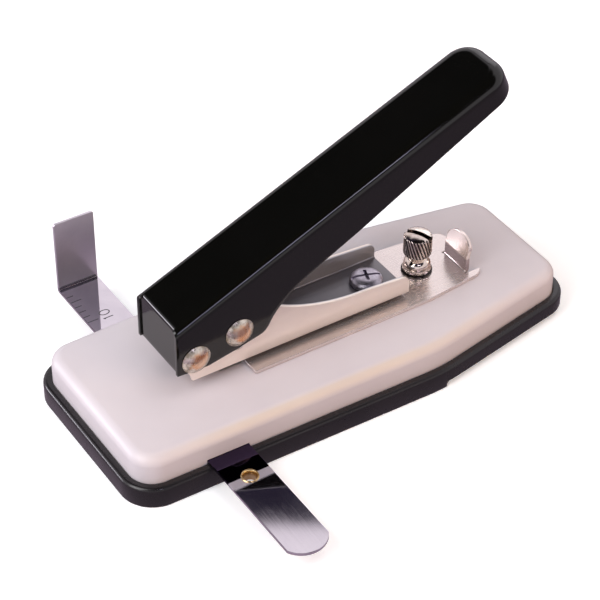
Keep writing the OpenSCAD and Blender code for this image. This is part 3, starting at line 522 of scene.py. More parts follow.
tool_steel = plated("tool_steel", (0.46, 0.44, 0.44), (0.56, 0.54, 0.54), (0.26, 0.40),
                    (3000, 60, 3000), 200, 0.00002, metallic=0.6)
bar_steel = plated("plain_steel", (0.38, 0.37, 0.36), (0.50, 0.49, 0.47), (0.32, 0.50),
                   (60, 2500, 2500), 160, 0.00003)
dress("die_insert", tool_steel)
for node in ("rear_spacer", "front_spacer", "pivot_spacer", "blade_pin", "spring_rivets"):
    dress(node, bar_steel)

# ---- Die frame -----------------------------------------------------------------------
# One piece of 1.5 mm sheet, cut flat, folded to a channel and nickel plated. Its walls carry
# the pivot and guide the drive rivet; its floor strips the card off the punch.

def flat_blank(name, loops, thickness, edge, rounds=1):
    """A flat sheet blank as a mesh: closed outlines filled, thickened and with broken edges.

    The first outline is the rim and the others are holes; the sheet's middle is at z = 0.
    """
    curve = bpy.data.curves.new(name, "CURVE")
    curve.dimensions, curve.fill_mode = "2D", "BOTH"
    curve.extrude = (thickness / 2 - edge) * MM
    curve.bevel_depth, curve.bevel_resolution, curve.offset = edge * MM, rounds, -edge * MM
    for loop in loops:
        spline = curve.splines.new("POLY")
        spline.points.add(len(loop) - 1)
        flat = np.zeros((len(loop), 4))
        flat[:, :2] = np.asarray(loop) * MM
        flat[:, 3] = 1
        spline.points.foreach_set("co", flat.ravel())
        spline.use_cyclic_u = True
    holder = bpy.data.objects.new(name, curve)
    bpy.context.scene.collection.objects.link(holder)
    solved = holder.evaluated_get(bpy.context.evaluated_depsgraph_get())
    mesh = bpy.data.meshes.new_from_object(solved)
    bpy.data.objects.remove(holder)
    bpy.data.curves.remove(curve)
    return mesh


def folded(name, mesh, cuts, bend, keep_smooth=16):
    """A blank folded into its shape: sliced along its fold lines, then every point bent.

    cuts is a list of (axis, place) slicing planes; bend maps points (n, 3) in mm to (n, 3).
    """
    work = bmesh.new()
    work.from_mesh(mesh)
    for axis, place in cuts:
        normal = [0, 0, 0]
        normal[axis] = 1
        bmesh.ops.bisect_plane(work, geom=work.verts[:] + work.edges[:] + work.faces[:],
                               plane_co=[n * place * MM for n in normal], plane_no=normal)
    bmesh.ops.remove_doubles(work, verts=work.verts, dist=1e-6)
    points = np.array([vert.co for vert in work.verts], float)
    for vert, bent in zip(work.verts, bend(points / MM) * MM):
        vert.co = bent
    bmesh.ops.recalc_face_normals(work, faces=work.faces)
    work.to_mesh(mesh)
    work.free()
    mesh.name = name
    made = bpy.data.objects.new(name, mesh)
    bpy.context.scene.collection.objects.link(made)
    smooth(made, keep_smooth)
    return made


PIVOT = np.array([-54.8, 32.6])
DRIVE = PIVOT + [16.6, 4.0]
FLOOR_LOW, FRAME_HALF, SHEET, FRAME_REAR, STROKE = 21.9, 11.4, 1.5, 31.3, 5.18
EDGE_R, INNER_R, STEP, CORNER_LEN = 1.0, 0.8, 0.02, 1.5
FLAT_HALF = FRAME_HALF - SHEET - INNER_R
WALL_FOOT = FLAT_HALF + CORNER_LEN + 2 * STEP
WALL_LOW = FLOOR_LOW + SHEET + INNER_R


def up_wall(points):
    """Blank coordinates (x, distance from the middle line) of points (x, height) of a wall."""
    points = np.asarray(points, float)
    return np.stack([points[:, 0], WALL_FOOT + points[:, 1] - WALL_LOW], 1)


CURVE_R, CURVE_X, CURVE_FOOT = 75.4, 13.7, FLOOR_LOW + 8.7
FRAME_FRONT, NOSE_R, SCREW_X = -54.7, 4.8, (21, -17)
high = FLOOR_LOW + 20.6
span = np.degrees(np.arccos(1 - (high - 1.2 - CURVE_FOOT) / CURVE_R))
hollow = arc((CURVE_X, CURVE_FOOT + CURVE_R), CURVE_R, -90, -90 - span, 48)
low_rear = FLOOR_LOW + 7.6
nose = arc(PIVOT, NOSE_R, 105, 205, 22)
slant = (nose[-1][0] - FRAME_FRONT) / (nose[-1][1] - FLOOR_LOW)
# A wall from the side: its low rear part, the long hollow edge, the top and the round nose
wall = np.concatenate([[[FRAME_REAR, WALL_LOW]],
                       arc((FRAME_REAR - 3, low_rear - 3), 3, 0, 86, 12),
                       hollow, [hollow[-1] + [-2.6, 1.2], [PIVOT[0] + 9, high]], nose,
                       [[FRAME_FRONT + slant * (WALL_LOW - FLOOR_LOW), WALL_LOW]]])
wall = up_wall(wall)
front_floor = np.array([[FRAME_FRONT, FLAT_HALF]])
rim = np.concatenate([[[FRAME_REAR, 0]], wall, front_floor,
                      front_floor * [1, -1], wall[::-1] * [1, -1]])


def slotted(top, bottom, radius, count):
    """A closed long hole between the middles of its upper and lower ends."""
    return np.concatenate([arc(top, radius, 0, 180, count), arc(bottom, radius, 180, 360, count)])


def drilled(centre, radius):
    """A round hole's outline."""
    return arc(centre, radius, 0, 345, 24)


PIVOT_HOLE, DRIVE_HOLE, SCREW_HOLE, PUNCH_HOLE, PUNCH_HALF = 2.8, 3.35, 2.7, 1.6, 5.5
holes = []
for side in (1, -1):
    holes.append(up_wall(drilled(PIVOT, PIVOT_HOLE)) * [1, side])
    holes.append(up_wall(slotted(DRIVE, DRIVE - [0, STROKE], DRIVE_HOLE, 14)) * [1, side])
holes.append(slotted((DRIVE[0], PUNCH_HALF), (DRIVE[0], -PUNCH_HALF), PUNCH_HOLE, 12))
holes += [drilled((x, 0), SCREW_HOLE) for x in SCREW_X]


def fold_channel(points):
    """Floor flat, then a corner, then an upright wall, on both sides of the middle.

    The inward side of the sheet is +z of the blank. In the corner, the outer and the inner
    face each follow an arc of their own radius, and the sheet fills what lies between.
    """
    x, s, n = points.T
    side, s = np.sign(s), np.abs(s)
    turned = np.clip((s - FLAT_HALF - STEP) / CORNER_LEN, 0, 1) * pi / 2
    share = n / SHEET + 0.5
    begun = np.clip((s - FLAT_HALF) / STEP, 0, 1)
    ended = np.clip((s - FLAT_HALF - STEP - CORNER_LEN) / STEP, 0, 1)
    flat = np.minimum(s, FLAT_HALF)
    outer_y = flat + begun * (FRAME_HALF - EDGE_R - FLAT_HALF) + EDGE_R * np.sin(turned)
    inner_y = flat + INNER_R * np.sin(turned)
    outer_z = FLOOR_LOW + EDGE_R * (1 - np.cos(turned)) + ended * (WALL_LOW - FLOOR_LOW - EDGE_R)
    inner_z = FLOOR_LOW + SHEET + INNER_R * (1 - np.cos(turned))
    y = outer_y + (inner_y - outer_y) * share
    z = outer_z + (inner_z - outer_z) * share + np.maximum(s - WALL_FOOT, 0)
    return np.stack([x, side * y, z], 1)


steps = [0, *(STEP + CORNER_LEN * k / 8 for k in range(9)), CORNER_LEN + 2 * STEP]
fold_lines = [(1, side * (FLAT_HALF + step)) for side in (1, -1) for step in steps]
die_frame = folded("die_frame_sheet", flat_blank("blank", [rim, *holes], SHEET, 0.3, 2),
                   fold_lines, fold_channel)
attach(die_frame, "base")
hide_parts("die_frame")
nickel = plated("satin_nickel", (0.90, 0.80, 0.72), (0.96, 0.87, 0.79), (0.30, 0.42),
                (25, 1800, 1800), 45, 0.000006, metallic=0.7)
# Painted shade: inside the channel the colour is darkened, most of all on the floor
shader, axes = reopen(nickel)
away = maths("ABSOLUTE", axes["Y"])
lay_over(shader, spread(away, 1, 0, 0.0101, 0.0108), (0.50, 0.56, 0.66, 1))
floor_painted_shade = maths("MULTIPLY", spread(away, 1, 0, 0.0096, 0.0100), spread(axes["Z"], 1, 0, 0.0236, 0.0248))
lay_over(shader, floor_painted_shade, (0.38, 0.36, 0.36, 1))
paint(die_frame, nickel)

# ---- Frame screws --------------------------------------------------------------------
# Two zinc-plated pan-head screws pull the frame down on its spacers; the head takes a flat
# or a cross driver. The front one is hidden between the walls.

def turned(profile, columns, ripple=None):
    """Points and faces of a turned body: a profile of (radius, height) spun about z.

    ripple(angle, height, radius) may add to the radius, as knurling does.
    """
    prof = np.asarray(profile, float)
    angle = np.linspace(0, 2 * pi, columns, endpoint=False)[None]
    radius = np.repeat(prof[:, :1], columns, 1)
    height = np.repeat(prof[:, 1:2], columns, 1)
    if ripple is not None:
        radius = radius + ripple(np.broadcast_to(angle, radius.shape), height, radius)
    body = np.stack([radius * np.cos(angle), radius * np.sin(angle), height], -1)
    return body.reshape(-1, 3), grid_faces(len(prof), columns, loop_cols=True)


def slab_cutter(size, centre, degrees_about_z):
    """A cutter block of a size, turned about z and set at a centre."""
    cutter = block([-v / 2 for v in size], [v / 2 for v in size])
    place = Matrix.Translation(Vector(centre) * MM) @ Matrix.Rotation(radians(degrees_about_z), 4, "Z")
    cutter.data.transform(place)
    return cutter


FRAME_FLOOR, CROWN_R, CROWN_H = FLOOR_LOW + SHEET, 2.9, 2.1
SLOT, CROSS, DRIVER_TURN = (13, 1.05, 3), (1.2, 5.6, 4), -19
head = [(0, 9.9), (2.0, 9.9), (2.45, 10.4), (2.45, FRAME_FLOOR), (5.5, FRAME_FLOOR),
        (5.8, FRAME_FLOOR + 0.3), (5.8, FRAME_FLOOR + 0.9)]
quarter = np.radians(np.linspace(8, 90, 12))
head += np.stack([CROWN_R + CROWN_R * np.cos(quarter),
                  FRAME_FLOOR + 1.1 + CROWN_H * np.sin(quarter)], 1).tolist()
head += [(1.5, FRAME_FLOOR + 3.24), (0, FRAME_FLOOR + 3.26)]
matt_zinc = plated("matt_zinc", (0.36, 0.33, 0.38), (0.70, 0.66, 0.73), (0.34, 0.50),
                   (500, 500, 500), 330, 0.00003)
for x in SCREW_X:
    body, faces = turned(head, 72)
    screw = make_object("frame_screw_rear" if x > 0 else "frame_screw_front", body + [x, 0, 0], faces)
    top = FRAME_FLOOR + 3.2
    carve(screw, slab_cutter(SLOT, (x, 0, top + 0.45), DRIVER_TURN),
          slab_cutter(CROSS, (x, 0, top + 0.1), DRIVER_TURN))
    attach(screw, "base")
    paint(screw, matt_zinc)
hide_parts("frame_screws")

# ---- Rivets --------------------------------------------------------------------------
# Two long rivets with wide domed heads. The front one is the lever's pivot; the other rides
# in the lever and drives the ram. Their plated heads show light dents from the setting tool.

HEAD_R, HEAD_H, SHANK_R, FACE, DENTS = 5.3, 2.2, 2.75, 12.95, 7
DOME_R = (HEAD_R ** 2 + HEAD_H ** 2) / (2 * HEAD_H)
sweep = np.linspace(0, np.arcsin(HEAD_R / DOME_R), 30)
dome = np.stack([DOME_R * np.sin(sweep), HEAD_H - DOME_R * (1 - np.cos(sweep))], 1)
dome[-1] = (HEAD_R, 0.16)
half_rivet = np.concatenate([dome + [0, FACE], [[HEAD_R - 0.12, FACE], [SHANK_R, FACE]]])
rivet_line = np.concatenate([half_rivet, half_rivet[::-1] * [1, -1]])


def set_rivet(name, centre, seed):
    """A rivet across the lever; each head's height dips by shallow round dents."""
    body, faces = turned(rivet_line, 64)
    dice = np.random.default_rng(seed)
    for face in (1, -1):
        for _ in range(DENTS):
            spot = dice.uniform(-3.6, 3.6, 2)
            wide, deep = dice.uniform(0.5, 1.3), dice.uniform(0.02, 0.07)
            away = ((body[:, 0] - spot[0]) ** 2 + (body[:, 1] - spot[1]) ** 2) / wide ** 2
            on_head = body[:, 2] * face > FACE + 0.3
            body[:, 2] -= on_head * face * deep * np.exp(-away)
    across = np.stack([body[:, 0] + centre[0], body[:, 2], centre[1] - body[:, 1]], 1)
    return make_object(name, across, faces)


bright = plated("bright_nickel", (0.72, 0.30, 0.11), (0.88, 0.66, 0.48), (0.22, 0.36),
                (1400, 1400, 1400), 170, 0.00001)
# Painted reflection: the middle of each head keeps a copper-orange colour, a painted warm reflection, and a
# pale grey rim colour is mixed in further out
shader, axes = reopen(bright)
tree = bright.node_tree
upright = add(tree, "ShaderNodeCombineXYZ", X=axes["X"], Z=axes["Z"])
reaches = []
for middle in (PIVOT, DRIVE):
    reach = add(tree, "ShaderNodeVectorMath", operation="DISTANCE")
    put(upright.outputs[0], reach.inputs[0])
    put(((middle[0] + 0.5) * MM, 0, (middle[1] + 0.3) * MM), reach.inputs[1])
    reaches.append(reach.outputs["Value"])
patchy = noise(add(tree, "ShaderNodeTexCoord").outputs["Object"], 420.0, 4.0, 0.6)
ragged = maths("MULTIPLY_ADD", patchy, 0.004, maths("MINIMUM", *reaches))
rim_tone = tint(patchy, (0.30, 0.26, 0.20), (0.78, 0.72, 0.62), 0.36, 0.60)
lay_over(shader, spread(ragged, 0, 1, 0.0045, 0.0060), rim_tone, "MIX")
for name, centre, body, node in (("pivot_rivet_heads", PIVOT, "base", "pivot_rivet"),
                                 ("drive_rivet_heads", DRIVE, "lever", "drive_rivet")):
    rivet = set_rivet(name, centre, 7 + len(body))
    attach(rivet, body)
    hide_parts(node)
    paint(rivet, bright)

# ---- Lever ---------------------------------------------------------------------------
# One deep sheet-steel pressing: a flat top, skirts that deepen into the cheeks beside the
# pivot, a drawn round rear end and a front flange folded down between the cheeks. It is
# stoved in gloss black.

TILT, LEVER_LEN, LEVER_HALF, RISE, LEVER_SHEET = radians(23.4), 140.0, 12.9, 15.1, 1.2
CORNER_R, EDGE_FRONT, EDGE_REAR = 9.0, 2.6, 4.6
FRONT_X, FLANGE_X, FLANGE_LOW, FLANGE_HALF, FOLD = -7.1, -6.5, 28.7, 11.45, 1.6
SKIRT = np.array([[-12, 0.6], [-7.5, -1.2], [2.5, -6.3], [13, -8.6], [22.6, -10.3], [23.8, -10.35],
                  [24.9, -10.1], [26.3, -9.5], [27.7, -8.4], [29.2, -7.25], [31.0, -6.2], [32.9, -5.3],
                  [38.0, -3.4], [42.8, -2.35], [50.0, -1.75], [69.0, -0.7], [105, 2.4], [141, 5.4]])


def lever_place(s, y, w):
    """Frame coordinates of a lever point: along it, across it, and square to its top."""
    return np.stack([PIVOT[0] + s * cos(TILT) - w * sin(TILT), y,
                     PIVOT[1] + s * sin(TILT) + w * cos(TILT)], -1)


def front_of(w, x=FRONT_X):
    """Where the upright plane at x from the pivot cuts the lever, along it, at height w."""
    return x / cos(TILT) + w * tan(TILT)


# The plan of the pressing, from the near front round the rear to the far front: each row holds
# a point along and across the lever and the outward direction there
side_t = np.linspace(0, 1, 110)
bend_angle = np.linspace(0, pi / 2, 22)[1:]
straight_end = LEVER_LEN - CORNER_R
near = np.zeros((len(side_t) + len(bend_angle), 4))
near[:, 1], near[:, 3] = -LEVER_HALF, -1
near[len(side_t):] = np.stack([straight_end + CORNER_R * np.sin(bend_angle),
                               -LEVER_HALF + CORNER_R * (1 - np.cos(bend_angle)),
                               np.sin(bend_angle), -np.cos(bend_angle)], 1)
across = np.concatenate([[-1, -0.985], np.linspace(-0.96, 0.96, 13), [0.985, 1]])
rear = np.stack([across[1:-1] * 0 + LEVER_LEN, across[1:-1] * near[-1, 1] * -1,
                 across[1:-1] * 0 + 1, across[1:-1] * 0], 1)
path = np.concatenate([near, rear, near[::-1] * [1, -1, 1, -1]])
n_near, n_path = len(near), len(path)
along = np.concatenate([side_t, np.ones(n_path - 2 * len(side_t)), side_t[::-1]])
on_side = np.arange(n_path) < len(side_t)
on_side = on_side | on_side[::-1]


def lever_line(step, rounding):
    """One line of the pressing round its plan: a skirt line by its share of the height, or a
    line of the rounded edge by its angle. The upright front cuts every line."""
    s = np.where(on_side, along * straight_end, path[:, 0])
    edge = EDGE_FRONT + (EDGE_REAR - EDGE_FRONT) * np.clip(s / straight_end, 0, 1)
    for _ in range(3):
        low = np.interp(s, SKIRT[:, 0], SKIRT[:, 1])
        w = (low + (RISE - edge - low) * step if rounding is None
             else RISE - edge + edge * np.sin(rounding))
        front = front_of(w)
        s = np.where(on_side, front + (straight_end - front) * along, path[:, 0])
    inward = 0 if rounding is None else edge * (1 - np.cos(rounding))
    return np.stack([s - path[:, 2] * inward, path[:, 1] - path[:, 3] * inward, w], -1)


lines = [lever_line(t, None) for t in (*np.linspace(0, 0.94, 13), 0.99, 1)]
lines += [lever_line(None, a) for a in np.linspace(0, pi / 2, 12)[1:]]
shell = np.stack(lines)
near_top, far_top = shell[-1, :n_near], shell[-1, ::-1][:n_near]
middle, reach = (near_top + far_top) / 2, (far_top - near_top) / 2
top = middle[:, None] + reach[:, None] * across[None, :, None]
corner_s = front_of(RISE, FLANGE_X)
fold_s = corner_s + FOLD * tan((pi / 2 - TILT) / 2)
top[:, 1:-1, 0] = np.maximum(top[:, 1:-1, 0], fold_s)
faces = grid_faces(len(lines), n_path)
points = [shell.reshape(-1, 3), top.reshape(-1, 3)]
faces += [f[::-1] for f in grid_faces(n_near, len(across), start=len(points[0]))]

# The front flange: a fold from the top's front edge, then straight down between the cheeks
place = lever_place(np.array([corner_s, fold_s]), np.zeros(2), np.array([RISE, RISE]))[:, [0, 2]]
centre = place[1] + FOLD * np.array([sin(TILT), -cos(TILT)])
edge_line = arc(centre, FOLD, 90 + np.degrees(TILT), 180, 12)
lower = np.stack([np.full(14, place[0, 0]), np.linspace(edge_line[-1, 1], FLANGE_LOW, 14)], 1)[1:]
line = np.concatenate([edge_line, lower])
start_half = top[0, -2, 1]
width = np.interp(np.arange(len(line)), [0, 9, 11],
                  [1, (FLANGE_HALF - 0.15) / start_half, FLANGE_HALF / start_half])
flange = np.stack([np.repeat(line[:, :1], len(across) - 2, 1), width[:, None] * top[0, 1:-1, 1],
                   np.repeat(line[:, 1:], len(across) - 2, 1)], -1)
points = np.concatenate([lever_place(*np.concatenate(points).T), flange.reshape(-1, 3)])
faces += grid_faces(len(line), len(across) - 2, start=len(points) - flange[..., 0].size)


def thicken(target, thickness, edge):
    """Gives an open shell its sheet thickness inwards and breaks its edges."""
    sheet = target.modifiers.new("sheet", "SOLIDIFY")
    sheet.thickness, sheet.offset, sheet.use_even_offset = thickness * MM, -1, True
    round_off = target.modifiers.new("edges", "BEVEL")
    round_off.width, round_off.segments = edge * MM, 2
    round_off.limit_method, round_off.angle_limit = "ANGLE", radians(50)
    carve(target)


lever = make_object("lever_pressing", points, faces, weld=2e-6, outwards=False)
thicken(lever, LEVER_SHEET, 0.14)
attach(lever, "lever")
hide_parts("lever")
black = coated("black_enamel", (0.0019, 0.0020, 0.0012), (0.0026, 0.0026, 0.0018), (0.05, 0.13),
               1300, 0.000012, IOR=1.5)
paint(lever, black)

# ---- Stop plate ----------------------------------------------------------------------
# The depth stop: one brushed steel sheet with a fork round the spacers and a finger tab bent
# up from a notch at its rear end. The thumb screw clamps it through the base's long slot.

def rounded(corners, count=8):
    """A closed outline of (x, y, radius) corners, each rounded by an arc, without the sides."""
    return np.concatenate(corner_arcs(corners, count)[0])


STOP_LOW, STOP_T, FINGER_X, FINGER_Y, FINGER_R = 18.45, 1.5, 57.8, (-10.4, 2.4), 1.35
STOP_FRONT, STOP_REAR, STOP_HALF, FORK_HALF, FORK_END, THUMB_X = -34, 62.5, 16, 6.15, 27.3, 42.5
FINGER_FOLD, LEAN, LEAN_R, NOTCH, CROWN, LEAF_LEN = 25.1, radians(14), 1.2, 0.6, 4.2, 7.4
# The flat outline: the near side up to the notch, the finger tab as a flat tongue with a
# crowned end, then the far side and the fork
bend_x = FINGER_X - FINGER_R - STOP_T / 2
to_fold = FINGER_R * pi / 2 + FINGER_FOLD - (STOP_LOW + STOP_T / 2 + FINGER_R)
leaf_mid, leaf_r = (FINGER_Y[0] + FINGER_Y[1]) / 2, (FINGER_Y[1] - FINGER_Y[0]) / 2
leaf_end = bend_x + to_fold + LEAF_LEN - CROWN
notch_low, notch_high = FINGER_Y[0] - NOTCH, FINGER_Y[1] + NOTCH
near_side = rounded([(STOP_FRONT, -FORK_HALF, 0.4), (STOP_FRONT, -STOP_HALF, 1), (37.2, -STOP_HALF, 20),
                     (STOP_REAR, -13.4, 5), (STOP_REAR, 0, 0)], 16)
before_notch = (near_side[:, 1] < notch_low) & (near_side[:, 0] < STOP_REAR - 0.05)
near_side = near_side[before_notch | (near_side[:, 0] < 0)]
leaf = arc((0, 0), 1, -90, 90, 30) * [CROWN, leaf_r] + [leaf_end, leaf_mid]
far_side = rounded([(bend_x, notch_high, 0.25), (STOP_REAR, notch_high, 0.3), (STOP_REAR, 13.4, 5),
                    (37.2, STOP_HALF, 20), (STOP_FRONT, STOP_HALF, 1), (STOP_FRONT, FORK_HALF, 0.4),
                    (FORK_END, FORK_HALF, 1), (FORK_END, -FORK_HALF, 1)])
outline = np.concatenate([near_side, [[near_side[-1, 0] + 0.12, notch_low], [bend_x, notch_low]],
                          [[bend_x, FINGER_Y[0]]], leaf, [[bend_x, FINGER_Y[1]]], far_side])


def bend_up(points):
    """The tongue in the notch turned up by a right angle, then leaned back at its fold line.

    t is the distance past the bend; the mid-line is an arc, a straight, a reverse arc and
    a straight, and every point keeps its distance n above the mid-line, square to it.
    """
    x, y, n = points.T
    tongue = (y > FINGER_Y[0] - 0.1) & (y < FINGER_Y[1] + 0.1) & (x > bend_x + 1e-4)
    t = np.where(tongue, x - bend_x, 0)
    turn = np.clip(t / FINGER_R, 0, pi / 2)
    back = np.clip((t - to_fold) / LEAN_R, 0, LEAN)
    mid_x = bend_x + FINGER_R * np.sin(turn) + LEAN_R * (1 - np.cos(back))
    mid_z = FINGER_R * (1 - np.cos(turn)) + np.clip(t - FINGER_R * pi / 2, 0, to_fold - FINGER_R * pi / 2)
    mid_z = mid_z + LEAN_R * np.sin(back)
    last = np.maximum(t - to_fold - LEAN_R * LEAN, 0)
    heading = turn - back
    mid_x, mid_z = mid_x + last * np.sin(back), mid_z + last * np.cos(back)
    base = STOP_LOW + STOP_T / 2
    return np.stack([np.where(tongue, mid_x - n * np.sin(heading), x), y,
                     np.where(tongue, base + mid_z + n * np.cos(heading), base + n)], 1)


# A slice just before and just after each bend keeps the flat faces' shading flat
SLICE = 0.15
bend_end, lean_end = bend_x + FINGER_R * pi / 2, bend_x + to_fold + LEAN_R * LEAN
cuts = [(0, bend_x + (bend_end - bend_x) * k / 8) for k in range(9)]
cuts += [(0, bend_x + to_fold + LEAN_R * LEAN * k / 4) for k in range(5)]
cuts += [(0, x) for x in (-20, 0, 20, 40, bend_x - SLICE, bend_end + SLICE,
                          bend_x + to_fold - SLICE, lean_end + SLICE)]
stop_plate = folded("stop_plate_sheet",
                    flat_blank("blank", [outline, drilled((THUMB_X, 0), 3.2)], STOP_T, 0.22),
                    cuts, bend_up)
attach(stop_plate, "depth_stop")
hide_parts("stop_plate")
brushed = plated("brushed_stop_steel", (0.68, 0.60, 0.57), (0.77, 0.685, 0.65), (0.20, 0.32),
                 (14, 2200, 2200), 42, 0.000004, metallic=0.8)
# Painted shade and highlight: the finger tab is painted darker above the plate's face, and its leaned leaf
# is painted bright
shader, axes = reopen(brushed)
lay_over(shader, spread(axes["Z"], 0, 1, 0.0200, 0.0206), (0.62, 0.58, 0.62, 1))
lay_over(shader, spread(axes["Z"], 0, 1, 0.0248, 0.0254), (0.84, 0.74, 0.69, 1), "MIX")
paint(stop_plate, brushed)

# ---- Thumb screw and nut -------------------------------------------------------------
# A turned and knurled screw: a polished bell over a striped collar, a short neck and a head
# with slanting knurls, slotted for a screwdriver. The nut under the base top rides with the
# stop plate.

THUMB_FOOT, HEAD_LOW, HEAD_TOP, TEETH, SLANT, FINE_TEETH, SLOT_TURN = 20.0, 27.3, 35.2, 26, 1.85, 39, -62
# From the hidden shank up: the foot ring, the collar, the bell, the neck and the head
thumb = [(0, 9.5), (2.0, 9.5), (2.35, 9.9), (2.35, THUMB_FOOT), (5.3, THUMB_FOOT)]
thumb += [(r, THUMB_FOOT + h) for r, h in ((5.55, 0.2), (5.55, 0.55), (5.2, 0.7), (4.7, 0.75), (4.95, 0.9))]
thumb += [(5.12, z) for z in np.linspace(THUMB_FOOT + 1.0, THUMB_FOOT + 1.7, 5)]
bell = np.radians(np.linspace(-18, 68, 26))
thumb += np.stack([1.75 + 3.15 * np.cos(bell), THUMB_FOOT + 2.9 + 3.0 * np.sin(bell)], 1)[1:].tolist()
thumb += [(2.98, 26.0), (3.6, 26.55), (4.35, 27.2), (4.85, 27.6), (5.05, 27.9)]
thumb += [(5.1, z) for z in np.linspace(28.1, 34.8, 40)]
thumb += [(5.0, 35.0), (4.8, 35.15), (4.45, 35.25)]
thumb += [(r, 36.0 - 0.7 * (r / 4.35) ** 2) for r in np.linspace(4.2, 0, 12)]


def knurl(angle, height, radius):
    """Slanting ridges on the head and fine upright ones on the collar, as cuts inwards."""
    head = (np.clip((height - HEAD_LOW) / 0.6, 0, 1) * np.clip((35.35 - height) / 0.45, 0, 1)
            * (radius > 4.0))
    wave = np.abs(((angle * TEETH + height * SLANT) / (2 * pi)) % 1 - 0.5) * 2
    collar = (height > THUMB_FOOT + 0.95) & (height < THUMB_FOOT + 1.8) & (radius > 5.05)
    fine = np.abs((angle * FINE_TEETH / (2 * pi)) % 1 - 0.5) * 2
    return -0.42 * head * wave ** 1.2 - 0.25 * collar * fine


body, faces = turned(thumb, TEETH * 12, knurl)
thumb_screw = make_object("knurled_thumb_screw", body + [THUMB_X, 0, 0], faces, keep_smooth=38)
carve(thumb_screw, slab_cutter((14, 2.0, 4), (THUMB_X, 0, 35.4), SLOT_TURN), keep_smooth=38)
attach(thumb_screw, "thumb")
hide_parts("thumb_screw")
polished = plated("turned_nickel", (0.66, 0.54, 0.46), (0.92, 0.84, 0.76), (0.06, 0.14),
                  (700, 700, 5000), 260, 0.000006)
# Painted shade: black in the driver slot, on the foot ring and in the valleys of the knurling
shader, axes = reopen(polished)
from_x, height = maths("SUBTRACT", axes["X"], THUMB_X * MM), axes["Z"]
angle = maths("ARCTAN2", axes["Y"], from_x)
turns = maths("MULTIPLY_ADD", height, SLANT / MM / (2 * pi), maths("MULTIPLY", angle, TEETH / (2 * pi)))
valley = maths("MULTIPLY", maths("PINGPONG", maths("SUBTRACT", turns, 0.5), 0.5), 2.0)
on_head = maths("MULTIPLY", maths("GREATER_THAN", height, HEAD_LOW * MM),
                maths("LESS_THAN", height, HEAD_TOP * MM))
groove = maths("MULTIPLY", spread(valley, 0, 0.93, 0.42, 0.70), on_head)
off_slot = maths("ABSOLUTE", maths("ADD", maths("MULTIPLY", from_x, -sin(radians(SLOT_TURN))),
                                   maths("MULTIPLY", axes["Y"], cos(radians(SLOT_TURN)))))
slot = maths("MULTIPLY", maths("LESS_THAN", off_slot, 0.00098), maths("GREATER_THAN", height, 0.0333))
foot = maths("LESS_THAN", height, (THUMB_FOOT + 0.74) * MM)
slot_and_foot_shade = maths("MAXIMUM", maths("MULTIPLY", slot, 0.96), maths("MULTIPLY", foot, 0.95))
lay_over(shader, maths("MAXIMUM", groove, slot_and_foot_shade), (0.010, 0.008, 0.010, 1), "MIX")
paint(thumb_screw, polished)
nut_brass = plated("nut_brass", (0.50, 0.36, 0.16), (0.64, 0.48, 0.24), (0.24, 0.38),
                   (60, 2500, 2500), 180, 0.00002)
dress("clamp_nut", nut_brass)

# ---- Guide strip ---------------------------------------------------------------------
# The side guide: a polished strip that slides through the base, with its far end folded up
# as the tab the card's edge meets. A brass eyelet near the round end stops it.

STRIP_X, STRIP_HALF, STRIP_LOW, STRIP_T, TAB_Y, TAB_TOP, BEND = -56.1, 7.8, 8.25, 1.1, 69.5, 38.35, 1.25
NEAR_END, END_R, TAB_R, EYE_Y = -86.9, 8.8, 0.8, -47.9
bend_mid, bend_y = BEND - STRIP_T / 2, TAB_Y - BEND
bend_end = bend_y + bend_mid * pi / 2
blank_end = bend_end + TAB_TOP - STRIP_LOW - BEND
reach_down = np.degrees(np.arcsin(STRIP_HALF / END_R))
outline = np.concatenate([
    arc((STRIP_X, NEAR_END + END_R), END_R, -90 - reach_down, -90 + reach_down, 30),
    arc((STRIP_X + STRIP_HALF - TAB_R, blank_end - TAB_R), TAB_R, 0, 90, 6),
    arc((STRIP_X - STRIP_HALF + TAB_R, blank_end - TAB_R), TAB_R, 90, 180, 6)])


def fold_tab(points):
    """The far end turned up: flat, then a round bend of bend_mid radius, then upright."""
    x, y, n = points.T
    turn = np.clip((y - bend_y) / bend_mid, 0, pi / 2)
    ring = bend_mid - n
    return np.stack([x, np.minimum(y, bend_y) + ring * np.sin(turn),
                     STRIP_LOW + BEND - ring * np.cos(turn) + np.maximum(y - bend_end, 0)], 1)


cuts = [(1, bend_y + bend_mid * pi / 2 * k / 8) for k in range(9)]
cuts += [(1, bend_y - SLICE), (1, bend_end + SLICE)]
guide_strip = folded("guide_strip_sheet",
                     flat_blank("blank", [outline, drilled((STRIP_X, EYE_Y), 2.65)],
                                STRIP_T, 0.16), cuts, fold_tab)
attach(guide_strip, "side_guide")
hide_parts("guide_strip")
polished_strip = plated("polished_strip", (0.76, 0.71, 0.77), (0.86, 0.81, 0.86), (0.02, 0.055),
                        (1600, 20, 1600), 60, 0.0000007)
# The tab is only brushed, and the stretch of strip just outside the base is painted dark, a painted dark
# reflection
shader, axes = reopen(polished_strip)
polish = shader.inputs["Roughness"].links[0].from_socket
on_tab = spread(axes["Z"], 0, 0.30, 0.0096, 0.0110)
matt_band = maths("MULTIPLY", spread(axes["Y"], 0, 0.42, -0.0515, -0.0500),
                  spread(axes["Y"], 1, 0, -0.0474, -0.0470))
join(maths("ADD", maths("ADD", polish, on_tab), matt_band), shader.inputs["Roughness"])
strip_painted_dark_reflection = maths("MULTIPLY", spread(axes["Y"], 0, 1, -0.0474, -0.0469),
                spread(axes["Y"], 1, 0, -0.034, -0.030))
lay_over(shader, strip_painted_dark_reflection, (0.060, 0.048, 0.095, 1))
paint(guide_strip, polished_strip)

